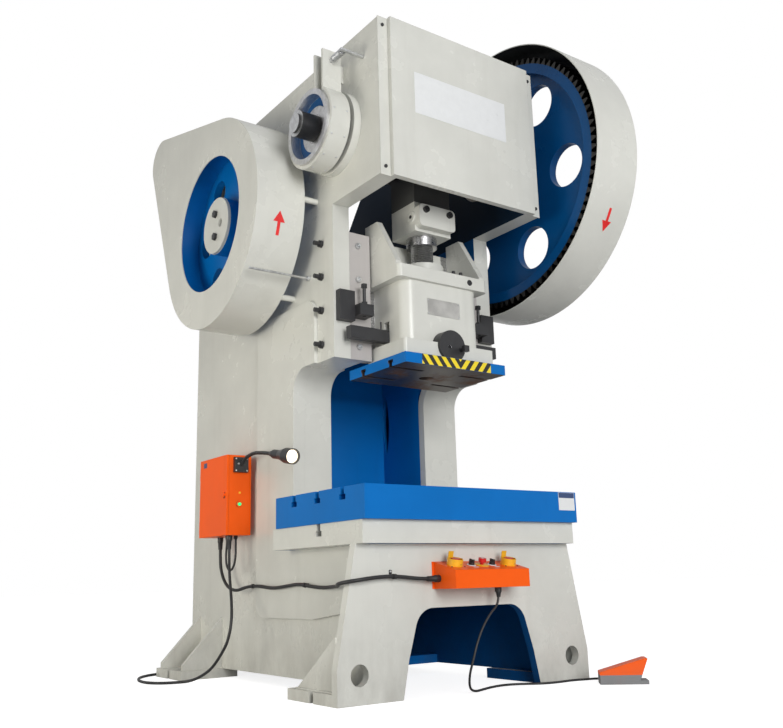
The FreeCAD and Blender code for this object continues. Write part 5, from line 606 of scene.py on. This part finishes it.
def dome(radius, tall, sink=0.0):
    """Profile of a low domed head: a wall, then z = wall + (tall - wall) sqrt(1 - (r / radius)^2)."""
    share = np.array((1.0, 0.9, 0.7, 0.4, 0.02))
    heights = tall * (0.35 + 0.65 * np.sqrt(1 - share ** 2))
    return np.vstack(((radius, -sink), np.column_stack((radius * share, heights))))


def turned_fitting(name, finish, profile, places, normal=FRONT, up=UP, steps=32, **how):
    """A turned shape stood at each of the places, as one piece."""
    local = turned(profile, steps)
    return fitting(name, finish, [stood(local, at, normal, up) for at in places], **how)


def slab(wide, tall, corner, thick, edge, steps=5):
    """Rings of a plate with rounded corners, drawn in a little at its back and front edges.

    The outline is each corner's centre plus r (cos a, sin a) over a quarter of a turn.
    """
    quarter = np.linspace(0, np.pi / 2, steps)
    parts = []
    for turn, (sx, sy) in enumerate(((1, 1), (-1, 1), (-1, -1), (1, -1))):
        angle = quarter + turn * np.pi / 2
        parts.append(np.column_stack((sx * (wide / 2 - corner) + corner * np.cos(angle),
                                      sy * (tall / 2 - corner) + corner * np.sin(angle))))
    outline = np.concatenate(parts)
    span = np.abs(outline).max()
    return np.stack([np.column_stack((outline * (1 - inset / span), np.full(len(outline), height)))
                     for inset, height in ((edge, 0.0), (0.0, edge), (0.0, thick - edge), (edge, thick))])


def plates(*table):
    """Bare plates: name, finish, (width, height, thickness), corner, place, normal and body."""
    for name, finish, (wide, tall, thick), corner, at, normal, body in table:
        edge = min(0.4, thick / 3)
        fitting(name, finish, [stood(slab(wide, tall, corner, thick, edge), at, normal)], body)


def carried(path, sections):
    """Rings of a section, (n, 2) at each point, carried along a path of machine points.

    The tangent is the difference of the neighbours; the side vector is the tangent
    crossed with the least used axis of the whole path, made square at each point.
    """
    tangent = np.gradient(path, axis=0)
    tangent /= np.linalg.norm(tangent, axis=1, keepdims=True)
    level = np.eye(3)[np.argmin(np.abs(tangent).max(axis=0))]
    side = np.cross(tangent, level)
    side /= np.linalg.norm(side, axis=1, keepdims=True)
    lift = np.cross(side, tangent)
    return row(path[:, None] + sections[..., 0:1] * side[:, None] + sections[..., 1:2] * lift[:, None])


# --------------------------------------------------------------------------
# Operators: one for each piece or group of like pieces
# --------------------------------------------------------------------------
# Square lamps: name, place and width in metres, power in watts, colour.
LAMPS = (
    ("Key", (-1.6, -8.0, 2.5), 3.4, 400, (1.0, 1.0, 1.0)),
    ("Side", (-4.6, 0.2, 0.7), 2.4, 108, (1.0, 0.965, 0.86)),
    ("Right", (6.2, -4.6, 2.4), 3.4, 18, (1.0, 1.0, 1.0)),
    ("Top", (0.0, -1.2, 7.4), 4.0, 22, (1.0, 1.0, 1.0)),
)
LAMPS_AIM = (0.0, 0.0, 1.4)
FILL_COLOUR, FILL_STRENGTH = (0.95, 0.97, 1.0, 1), 0.27
MIRRORED = 0.45  # share of the white background that glossy surfaces show
FLOOR_GLOW = 0.82  # brings the floor to white for the camera alone
FLOOR_RADIUS, FLOOR_LEVEL = 60.0, -0.0004

# The photograph's camera: place, turn in degrees, focal length and width in pixels.
CAMERA_AT = (-2627.67, -3039.86, 470.83)
AZIMUTH, RISE, ROLL = 35.61, 13.31, -1.51
FOCAL, PHOTO_WIDTH, SENSOR = 910.97, 783, 36.0


class PressStage(bpy.types.Operator):
    """Floor, soft lights and the camera."""
    bl_idname = "press.stage"
    bl_label = "Stage"

    def execute(self, context):
        context.scene.view_settings.view_transform = "Standard"
        self.world(context)
        self.floor()
        self.lamps()
        self.camera(context)
        return {"FINISHED"}

    def world(self, context):
        """A white background for the camera over a dimmer fill light."""
        world = bpy.data.worlds.new("Studio")
        world.use_nodes = True
        context.scene.world = world
        tree = world.node_tree
        tree.nodes.clear()
        seen = add(tree, "ShaderNodeBackground", Color=(1, 1, 1, 1), Strength=1.0)
        fill = add(tree, "ShaderNodeBackground", Color=FILL_COLOUR, Strength=FILL_STRENGTH)
        path = add(tree, "ShaderNodeLightPath").outputs
        pick = tree.nodes.new("ShaderNodeMixShader")
        tree.links.new(plus(tree, path["Is Camera Ray"], times(tree, path["Is Glossy Ray"], MIRRORED), True),
                       pick.inputs[0])
        tree.links.new(fill.outputs[0], pick.inputs[1])
        tree.links.new(seen.outputs[0], pick.inputs[2])
        tree.links.new(pick.outputs[0], tree.nodes.new("ShaderNodeOutputWorld").inputs[0])

    def floor(self):
        """A round pale floor that keeps the press's shadow."""
        material, tree, shader = new_material("Pale Floor")
        tone = noise(tree, place(tree), 1.4, detail=4.0)
        tree.links.new(blended(tree, tone, (0.60, 0.60, 0.60), (0.62, 0.62, 0.62)),
                       shader.inputs["Base Color"])
        shader.inputs["Roughness"].default_value = 0.7
        seen = add(tree, "ShaderNodeLightPath").outputs["Is Camera Ray"]
        glow = add(tree, "ShaderNodeEmission", Color=(1, 1, 1, 1), Strength=times(tree, seen, FLOOR_GLOW))
        both = tree.nodes.new("ShaderNodeAddShader")
        tree.links.new(shader.outputs[0], both.inputs[0])
        tree.links.new(glow.outputs[0], both.inputs[1])
        tree.links.new(both.outputs[0], tree.nodes["Material Output"].inputs[0])
        ring = circle(96, FLOOR_RADIUS)
        points = np.column_stack((ring, np.full(len(ring), FLOOR_LEVEL)))
        mesh = bpy.data.meshes.new("Floor")
        mesh.from_pydata(points.tolist(), [], [list(range(len(ring)))])
        mesh.materials.append(material)
        piece = linked("Floor", mesh)

    def lamps(self):
        """Square lamps that all look at one point."""
        for name, at, size, power, tint in LAMPS:
            light = bpy.data.lights.new(name, "AREA")
            light.shape, light.size, light.energy, light.color = "SQUARE", size, power, tint
            lamp = linked(name, light)
            lamp.location = at
            aim = mathutils.Vector(np.subtract(LAMPS_AIM, at))
            lamp.rotation_euler = aim.to_track_quat("-Z", "Y").to_euler()

    def camera(self, context):
        """The photograph's camera: turned by its azimuth, then its rise, then its roll."""
        azimuth, rise, roll = (math.radians(angle) for angle in (AZIMUTH, RISE, ROLL))
        forward = np.array((math.sin(azimuth) * math.cos(rise), math.cos(azimuth) * math.cos(rise),
                            math.sin(rise)))
        right = np.array((math.cos(azimuth), -math.sin(azimuth), 0.0))
        up = np.cross(right, forward)
        turn = np.eye(4)
        turn[:3, 0] = right * math.cos(roll) + up * math.sin(roll)
        turn[:3, 1] = -right * math.sin(roll) + up * math.cos(roll)
        turn[:3, 2] = -forward
        turn[:3, 3] = row(CAMERA_AT)
        data = bpy.data.cameras.new("Camera")
        data.sensor_width = SENSOR
        data.lens = FOCAL * SENSOR / PHOTO_WIDTH
        data.clip_end = 200.0
        camera = linked("Camera", data)
        camera.matrix_world = mathutils.Matrix(turn.tolist())
        context.scene.camera = camera


class PressNodes(bpy.types.Operator):
    """Finishes of the solids, by node and by face."""
    bl_idname = "press.nodes"
    bl_label = "Finishes"

    def execute(self, context):
        make_edge_group(context.scene.press_fittings.edge)
        make_weather_group()
        make_grain_group()
        make_tool_mark_group()
        make_materials(context.scene.press_finishes)
        for finish, names in NODE_FINISH.items():
            for name in names:
                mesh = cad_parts[name].data
                mesh.materials.clear()
                mesh.materials.append(MATERIALS[finish])
                mesh.polygons.foreach_set("material_index", np.zeros(len(mesh.polygons), np.int32))
        for names, finish, rule in FACE_RULES:
            for name in names:
                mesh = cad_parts[name].data
                index = np.empty(len(mesh.polygons), np.int32)
                mesh.polygons.foreach_get("material_index", index)
                index[rule(Faces(mesh))] = len(mesh.materials)
                mesh.materials.append(MATERIALS[finish])
                mesh.polygons.foreach_set("material_index", index)
        return {"FINISHED"}


# Cord routes: the middle lines of the solids' runs, in machine millimetres.
CONDUIT = (
    (-560, 1420, 687), (-560, 1420, 620), (-562, 1406, 538), (-558, 1350, 462), (-548, 1262, 432),
    (-530, 1170, 455), (-521, 1060, 458), (-520, 930, 444), (-521, 800, 452), (-520, 669, 463),
    (-521, 560, 450), (-522, 450, 443), (-535, 345, 448), (-566, 262, 450), (-610, 195, 452),
    (-648, 135, 458), (-654, 74, 465), (-612, 34, 472), (-548, 40, 479), (-470, 44, 484),
    (-390, 50, 481), (-300, 40, 470), (-226, 40, 470))
SUPPLY = (
    (-600, 1230, 687), (-600, 1230, 600), (-625, 1168, 500), (-655, 1080, 395), (-680, 1022, 300),
    (-690, 1038, 210), (-700, 1092, 145), (-700, 1190, 80), (-704, 1290, 40), (-730, 1370, 12),
    (-785, 1418, 7), (-850, 1445, 7), (-889, 1512, 7), (-893, 1600, 7), (-872, 1700, 7),
    (-825, 1810, 7), (-745, 1895, 7), (-640, 1935, 7), (-540, 1958, 7), (-410.32, 1993.01, 7))
FOOT_CORD = (
    (84, 0, 408), (84, 0, 360), (34, 0, 322), (-14, 0, 266), (-50, 0, 200), (-72, 0, 140),
    (-86, 14, 78), (-70, 36, 22), (-22, 58, 5), (45, 88, 5), (130, 128, 5), (225, 148, 5),
    (305, 116, 5), (368, 58, 5), (455, 44, 5), (551, 52, 5), (611, 35, 5), (640, 22, 6),
    (654, -4, 8), (650.94, -32.42, 10), (627.97, -57.49, 10))
# The slack of a button lead that hangs in a loop under the electrical box.
SLACK = (
    (-562, 1235, 704), (-562, 1235, 655), (-563, 1231, 605), (-567, 1243, 554), (-573, 1272, 532),
    (-579, 1301, 554), (-581, 1309, 612), (-579, 1302, 660), (-578, 1302, 704))
# The put-away turns of the supply lead: turns in each layer, pitch of the turns and their middle
# radius, where they start in degrees, their centre on the floor (side, back), the lead's radius,
# the length after the last turn and the height of the plug's axis.
COIL = dict(turns=2.75, pitch=15.2, middle=77.0, start=-63.4, side=-380.0, back=2120.0, radius=7.0,
            tail=80.0, plug=35.0)


def coil_points(per_turn=16):
    """Turns of the put-away lead: a flat spiral in, half a turn up, and a spiral out.

    Radius falls by a pitch each turn, dips over the climbing half turn and grows again;
    the height rises by one pitch over that half turn.
    """
    turns, pitch = COIL["turns"], COIL["pitch"]
    last = 2 * turns + 0.5
    t = np.linspace(0, last, int(round(per_turn * last)) + 1)
    inner = COIL["middle"] - pitch * turns / 2
    part = np.clip((t - turns) / 0.5, 0, 1)
    radius = inner + pitch * (np.maximum(turns - t, 0) + np.maximum(t - turns - 0.5, 0))
    radius -= pitch / 2 / np.pi * np.sin(np.pi * part)
    angle = np.radians(COIL["start"]) + 2 * np.pi * t
    # control points stand a little outside the line that the spline follows
    bulge = 1 / np.cos(np.pi / per_turn) ** 0.5
    rise = COIL["radius"] + pitch * (1 - np.cos(np.pi * part)) / 2
    return np.column_stack((COIL["side"] + radius * bulge * np.cos(angle),
                            COIL["back"] + radius * bulge * np.sin(angle), rise))


def cord_piece(name, points, radius, nodes, body="frame"):
    """A round cord on a NURBS spline whose control points are the route's points."""
    curve = bpy.data.curves.new(name, "CURVE")
    curve.dimensions = "3D"
    curve.bevel_depth = radius / 1000
    curve.bevel_resolution = 5
    curve.resolution_u = 10
    curve.use_fill_caps = True
    spline = curve.splines.new("NURBS")
    spline.points.add(len(points) - 1)
    spline.points.foreach_set("co", np.column_stack((row(points), np.ones(len(points)))).ravel())
    spline.order_u = 3
    spline.use_endpoint_u = True
    curve.materials.append(MATERIALS["rubber"])
    piece = linked(name, curve)
    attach(piece, body)
    if nodes:
        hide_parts(*nodes)
    return piece


class PressCords(bpy.types.Operator):
    """The conduit to the console, the supply lead with its coil and plug, and the pedal's cord."""
    bl_idname = "press.cords"
    bl_label = "Cords"

    def execute(self, context):
        conduit = cord_piece("console_conduit", CONDUIT, 8, ("control_conduit",))
        coil = coil_points()
        heading = (coil[-1] - coil[-2]) / np.linalg.norm(coil[-1] - coil[-2])
        rise = COIL["plug"] - coil[-1][2]
        # shares of the tail's length, and of its rise from the floor to the plug's axis
        tail = [coil[-1] + heading * COIL["tail"] * part + np.array((0, 0, rise * lift))
                for part, lift in ((0.25, 0.0), (0.55, 0.42), (0.8, 1.0), (1.0, 1.0))]
        depth_in_plug = 14
        supply = np.vstack((SUPPLY, coil, tail, tail[-1] + heading * depth_in_plug))
        lead = cord_piece("supply_lead", supply, 7, ("supply_cord", "cord_coil"))
        foot = cord_piece("pedal_lead", FOOT_CORD, 5, ("foot_cord",))
        slack = cord_piece("button_lead", SLACK, 5.5, ())
        self.reliefs()
        self.clips()
        return {"FINISHED"}

    def reliefs(self):
        """Tapered sleeves where the cords leave their glands, and the loop's two gland nuts."""
        sleeves = []
        for at, way, inner, collar, long in (
                (CONDUIT[0], DOWN, 9.4, 5, 42), (CONDUIT[-1], LEFT, 9.4, 5, 42),
                (SUPPLY[0], DOWN, 8.4, 5, 48), (FOOT_CORD[0], DOWN, 6.8, 5, 22),
                (FOOT_CORD[-1], np.subtract(FOOT_CORD[-2], FOOT_CORD[-1]), 6.2, 3.3, 20)):
            outer = inner + collar
            sleeve = turned(((inner, 0), (outer, 0), (outer, 5), (inner + 3.2, 8), (inner + 1.2, long),
                             (inner, long)), 24)
            sleeves.append(stood(sleeve, at, way, up=BACK if way[1] == 0 else UP))
        fitting("strain_reliefs", "rubber", sleeves, closed=True)
        nut = ((0.5, 0), (11, 0), (11, 9), (9, 12), (9, 17), (6.4, 19), (0.5, 19))
        box_floor = 706.5
        turned_fitting("loop_glands", "black", nut, [(x, y, box_floor) for x, y, _ in (SLACK[0], SLACK[-1])],
                       DOWN, BACK, 6, smooth=False)

    def clips(self):
        """Saddles that hold the conduit: a ring round it, an arm and a screwed foot."""
        rings, arms, feet, screws = [], [], [], []
        side_plate, leg_front, ring_reach, foot_thick = -483, 77, 9.5, 2.4
        ring = turned(((8.5, -8), (10.8, -8), (10.8, 8), (8.5, 8)), 24)
        foot = slab(30, 14, 3, foot_thick, 0.3)
        screw = turned(((0.5, 0), (5, 0), (5, 1.4), (3, 3.2), (0.5, 3.6)), 16)
        # a clip stands half way between a route point and the next, and reaches to its wall
        for index, wall in ((5, (1, 0, 0)), (9, (1, 0, 0)), (19, BACK)):
            at = (np.array(CONDUIT[index]) + CONDUIT[index + 1]) / 2
            along = np.subtract(CONDUIT[index + 1], CONDUIT[index])
            reach = (side_plate - at[0] if wall[0] else leg_front - at[1]) - 0.2
            arm = slab(3, 14, 1, reach - ring_reach, 0.3)
            wall = np.array(wall)
            at_wall = at + wall * (reach - foot_thick)
            rings.append(stood(ring, at, along))
            arms.append(stood(arm, at + wall * ring_reach + (0, 0, 6), wall, up=along))
            feet.append(stood(foot, at_wall + (0, 0, 12), wall, up=along))
            screws.append(stood(screw, at_wall + (0, 0, 20), -wall))
        fitting("conduit_clips", "black", rings, closed=True)
        fitting("clip_arms", "black", arms + feet)
        fitting("clip_screws", "zinc", screws)


class PressPlates(bpy.types.Operator):
    """Bare plates, hazard stripes and the two turning arrows."""
    bl_idname = "press.plates"
    bl_label = "Plates and marks"

    def execute(self, context):
        plates(("hazard_strip", "stripes", (407, 46, 0.8), 1.0, (0.5, 107.9, 1432), FRONT, "slide"),
               ("slide_name_plate", "plate", (196, 80, 1.2), 4.0, (0, 191.9, 1716), FRONT, "slide"))
        rivet = ((4, 0), (4, 1.2), (2.8, 2.4), (0.6, 2.9))
        turned_fitting("slide_plate_rivets", "zinc", rivet,
                       [(x, 191, z) for x in (-91, 91) for z in (1684, 1748)], steps=16, body="slide")
        plates(("bolster_plate", "white_plate", (104, 82, 1.0), 3.0, (538, 0.1, 806), FRONT, "frame"),
               ("bolster_plate_band", "navy_film", (100, 24, 1.4), 2.0, (538, 0.1, 834), FRONT, "frame"),
               ("cover_plate", "white_plate", (560, 208, 1.0), 3.0, (-20, -29.9, 2658), FRONT, "frame"))
        self.arrow("flywheel_arrow", DRIVE, 550, -690, (561, 2133), 1)
        self.arrow("gear_arrow", CRANK, 742, 662, (-280, 2147), -1)
        return {"FINISHED"}

    def arrow(self, name, centre, radius, middle_x, at, way):
        """An arrow bent round a guard's rim of this radius.

        Along the circumference the width is the shaft's, then falls from the head's to
        nothing; across, it runs along X on both sides of `middle_x`.
        """
        long, shaft, head = 118.0, 16.0, 62.0
        along = np.array((0.0, 0.2, 0.4, 0.55, 0.551, 0.7, 0.85, 1.0))
        width = np.array((shaft, shaft, shaft, shaft, head, head * 0.67, head * 0.34, 1.0)) / 2
        middle = math.atan2(at[1] - centre[1], at[0] - centre[0])
        # a clockwise step along the front of a guard goes up
        angle = middle - way * (along - 0.5) * long / radius

        def edge(side, lift):
            return np.column_stack((middle_x + side * width, centre[0] + (radius + lift) * np.cos(angle),
                                    centre[1] + (radius + lift) * np.sin(angle)))

        under, over = 0.1, 0.9
        section = np.stack((edge(-1, under), edge(-1, over), edge(1, over), edge(1, under)), axis=1)
        fitting(name, "red_paint", [row(section)], smooth=False)


class PressLamp(bpy.types.Operator):
    """The work lamp's lens, its base's screws and its switch."""
    bl_idname = "press.lamp"
    bl_label = "Work lamp"

    def execute(self, context):
        neck_end, reach = np.array((-570.0, 850.0, 1075.16)), 208
        aim = np.array((0.0, -0.9835, -0.1810))
        lens = ((31.4, 0), (31.4, 1.5), (29, 3.4), (22, 5.6), (12, 7.0), (0.5, 7.4))
        turned_fitting("lamp_lens", "lamp_lens", lens, [neck_end + aim * reach], aim, steps=40)
        base_x, base_y, base_z = -570, 1161, 1058
        screw, switch = turned(dome(4.2, 2.4), 16), turned(dome(5.0, 9.0), 16)
        solids = [stood(screw, (base_x + side, base_y, base_z + rise))
                  for side in (-30, 30) for rise in (-30, 30)]
        solids.append(stood(switch, (base_x - 18, base_y, base_z + 4)))
        fitting("lamp_base_screws", "zinc", solids)
        return {"FINISHED"}


class PressButtons(bpy.types.Operator):
    """Rings, bare labels and lenses round the buttons of the console and the electrical box."""
    bl_idname = "press.buttons"
    bl_label = "Button fittings"

    def execute(self, context):
        self.console()
        self.box()
        return {"FINISHED"}

    def console(self):
        """Fittings on the console's sloping top, which rises 37 mm over 147 mm."""
        lean = math.atan2(37.0, 147.0)
        normal = np.array((0.0, -math.sin(lean), math.cos(lean)))
        back = np.array((0.0, math.cos(lean), math.sin(lean)))
        selectors, palms = (-58, 58), (-150, 150)

        def on_top(local, side, rear=0.0, lift=0.0):
            """Stood on the top: sideways from its middle, up the slope and off it."""
            at = np.array((side, 3.5, 521.5)) + back * rear + normal * lift
            return stood(local, at, normal, up=back)

        ring = turned(((13.8, 0.1), (19.5, 0.1), (19.5, 2.2), (18.2, 3.2), (13.8, 3.2)))
        fitting("selector_rings", "white_plate", [on_top(ring, side) for side in selectors], closed=True)
        mark, label = slab(2.4, 15, 1, 0.7, 0.2), slab(26, 10, 1.5, 0.8, 0.2)
        for side, name in zip(selectors, ("left_selector", "right_selector")):
            fitting(name + "_mark", "white_plate", [on_top(mark, side, 0, 26.05)], name)
        fitting("console_labels", "white_plate", [on_top(label, side, -34, 0.05) for side in selectors])
        fitting("emergency_button_mark", "white_plate", [on_top(turned(dome(6, 1.0, 0.2), 24), 0, 0, 30.2)],
                "emergency_button")
        pin = turned(dome(3.2, 2.0, 1.0), 12)
        fitting("console_screws", "black_steel",
                [on_top(pin, side, -26, 1.0) for side in (-184, 184, -116, 116)])
        turned_fitting("guard_screws", "black", dome(3.4, 2.0, 0.4),
                       [(side + 6, -29.9, 524.5) for side in palms], (0, -0.97, 0.24), steps=12)

    def box(self):
        """Start button, pilot lamp, bare label and lock of the electrical box."""
        bezel = ((9, 0), (15, 0), (15, 3), (13, 5), (9, 5))
        turned_fitting("start_bezel", "black", bezel, [(-575, 1179.9, 860)], closed=True)
        turned_fitting("start_lens", "green", dome(7.6, 3.0, 0.2), [(-575, 1173.6, 860)], steps=24,
                       body="start_button")
        turned_fitting("pilot_lens", "yellow", dome(6.0, 5.0), [(-571, 1179.9, 918)], steps=20)
        plates(("box_label", "navy_film", (38, 26, 0.8), 1.5, (-643.05, 1440, 1079), LEFT, "box_door"),
               ("box_door_lock", "black", (16, 30, 3.0), 3.0, (-643.05, 1205, 905), LEFT, "box_door"))


class PressBrake(bpy.types.Operator):
    """Spring and collar of the brake's tension rod, and the rivets of its band."""
    bl_idname = "press.brake"
    bl_label = "Brake fittings"

    def execute(self, context):
        turns, per_turn, coil, wire = 6.5, 20, 14.6, 2.4
        rod_x, rod_z, spring_from, spring_to = -590.5, 2852, 140, 202
        t = np.linspace(0, turns, int(turns * per_turn) + 1)
        angle = 2 * np.pi * t
        along = spring_from + (spring_to - spring_from) * t / turns
        middle = np.column_stack((rod_x + coil * np.cos(angle), along, rod_z + coil * np.sin(angle)))
        out = np.column_stack((np.cos(angle), np.zeros(len(t)), np.sin(angle)))
        section = circle(8, wire)
        # the wire's section lies across the helix: outwards and along the rod
        spring = middle[:, None] + section[None, :, 0:1] * out[:, None] + section[None, :, 1:2] * BACK
        fitting("brake_spring", "zinc", [row(spring)])
        collar = ((9.3, 0), (16, 0), (17.5, 1.5), (17.5, 8.5), (16, 10), (9.3, 10))
        turned_fitting("brake_spring_collar", "steel", collar, [(rod_x, 137, rod_z)], closed=True)
        band_radius, band_edges = 197.3, (-625, -557)
        rivet, rivets = turned(dome(5.0, 2.4, 0.5), 12), []
        for degrees in (-150, -120, -90, -60, -30, 0, 30, 60, 175):
            outward = np.array((0, math.cos(math.radians(degrees)), math.sin(math.radians(degrees))))
            rivets += [stood(rivet, (side, *CRANK) + band_radius * outward, outward, up=(1, 0, 0))
                       for side in band_edges]
        fitting("band_rivets", "zinc", rivets)
        return {"FINISHED"}


class PressSlideFittings(bpy.types.Operator):
    """Screws on the slide's band and top, and the plug beside the rod's clamp."""
    bl_idname = "press.slide_fittings"
    bl_label = "Slide fittings"

    def execute(self, context):
        head = ((14.5, 0), (14.5, 2.6), (13, 4.4), (7.5, 4.4), (7, 1.6), (0.5, 1.6))
        turned_fitting("band_screw", "black_steel", head, [(155, 175, 1868)], body="slide")
        stud = ((9, 0), (9, 62), (7.5, 64), (0.5, 64))
        nut = ((17, 0), (18, 1), (18, 14), (16, 16), (9.2, 16), (9.2, 0))
        stud_sides = (152, 198)
        turned_fitting("top_studs", "black_steel", stud, [(side, 290, 1898) for side in stud_sides],
                       UP, BACK, 20, body="slide")
        turned_fitting("top_nuts", "zinc", nut, [(side, 290, 1898.1) for side in stud_sides],
                       UP, BACK, 6, body="slide", smooth=False, closed=True)
        boss = ((30, 0), (30, 4), (27.5, 6.5), (14, 6.5), (12, 5), (0.5, 5))
        turned_fitting("rod_plug", "enamel", boss, [(-110, 276, 2188)], LEFT, steps=40, body="rod")
        turned_fitting("rod_plug_hexagon", "black_steel", ((9, 0), (9, 3.4), (0.5, 3.4)),
                       [(-114.9, 276, 2188)], LEFT, steps=6, body="rod", smooth=False)
        return {"FINISHED"}


# Weld runs on the right side, which the left side mirrors, and the one along the table's front.
SIDE_WELDS = (
    ((484, 118.5, 50), (484, 118.5, 610)), ((484.5, 120, 46), (484.5, 462, 46)),
    ((638.5, 120, 46), (638.5, 440, 46)), ((638.5, 118.5, 50), (638.5, 118.5, 258)),
    ((666.5, 120, 46), (666.5, 440, 46)), ((666.5, 118.5, 50), (666.5, 118.5, 258)),
    ((484.5, 124, 613.5), (484.5, 750, 613.5)), ((484.5, 1534, 46), (484.5, 1858, 46)))
TABLE_WELD = ((-535, 75.5, 613.5), (535, 75.5, 613.5))


class PressWelds(bpy.types.Operator):
    """Fillet beads where the frame's plates meet."""
    bl_idname = "press.welds"
    bl_label = "Weld beads"

    def execute(self, context):
        bead = context.scene.press_fittings.bead * 1000
        ring_gap, pace, ripple, end_share = 7, 23, 5.1, 0.35
        runs = [np.array(run, float) * (side, 1, 1) for side in (-1, 1) for run in SIDE_WELDS]
        runs.append(np.array(TABLE_WELD, float))
        beads = []
        for number, (start, end) in enumerate(runs):
            span = np.linalg.norm(end - start)
            share = np.linspace(0, 1, max(12, int(span / ring_gap)))
            path = start + (end - start) * share[:, None]
            # slow swell of the hand's pace, finer ripple of the puddle
            swell = 1 + 0.10 * np.sin(share * span / pace + number) + 0.05 * np.sin(share * span / ripple)
            swell[[0, -1]] = end_share
            beads.append(carried(path, circle(8)[None] * bead * swell[:, None, None]))
        fitting("weld_beads", "enamel", beads)
        return {"FINISHED"}


OPERATORS = (PressStage, PressNodes, PressCords, PressPlates, PressLamp, PressButtons, PressBrake,
             PressSlideFittings, PressWelds)
PROPERTIES = (PressFinishes, PressFittings)


class PressPanel(bpy.types.Panel):
    """Buttons of the dressing."""
    bl_idname = "VIEW3D_PT_press"
    bl_label = "Press"
    bl_space_type = "VIEW_3D"
    bl_region_type = "UI"
    bl_category = "Press"

    def draw(self, context):
        for operator in OPERATORS:
            self.layout.operator(operator.bl_idname)
        for holder in (context.scene.press_finishes, context.scene.press_fittings):
            for name in holder.__annotations__:
                self.layout.prop(holder, name)


def register():
    """Make the classes and the scene's two sets of properties known."""
    for item in PROPERTIES + OPERATORS + (PressPanel,):
        bpy.utils.register_class(item)
    bpy.types.Scene.press_finishes = PointerProperty(type=PressFinishes)
    bpy.types.Scene.press_fittings = PointerProperty(type=PressFittings)


def unregister():
    del bpy.types.Scene.press_fittings
    del bpy.types.Scene.press_finishes
    for item in reversed(PROPERTIES + OPERATORS + (PressPanel,)):
        bpy.utils.unregister_class(item)


def main():
    """Dress the press piece by piece."""
    register()
    bpy.ops.press.stage()
    bpy.ops.press.nodes()
    bpy.ops.press.cords()
    bpy.ops.press.plates()
    bpy.ops.press.lamp()
    bpy.ops.press.buttons()
    bpy.ops.press.brake()
    bpy.ops.press.slide_fittings()
    bpy.ops.press.welds()


if __name__ == "__main__":
    main()
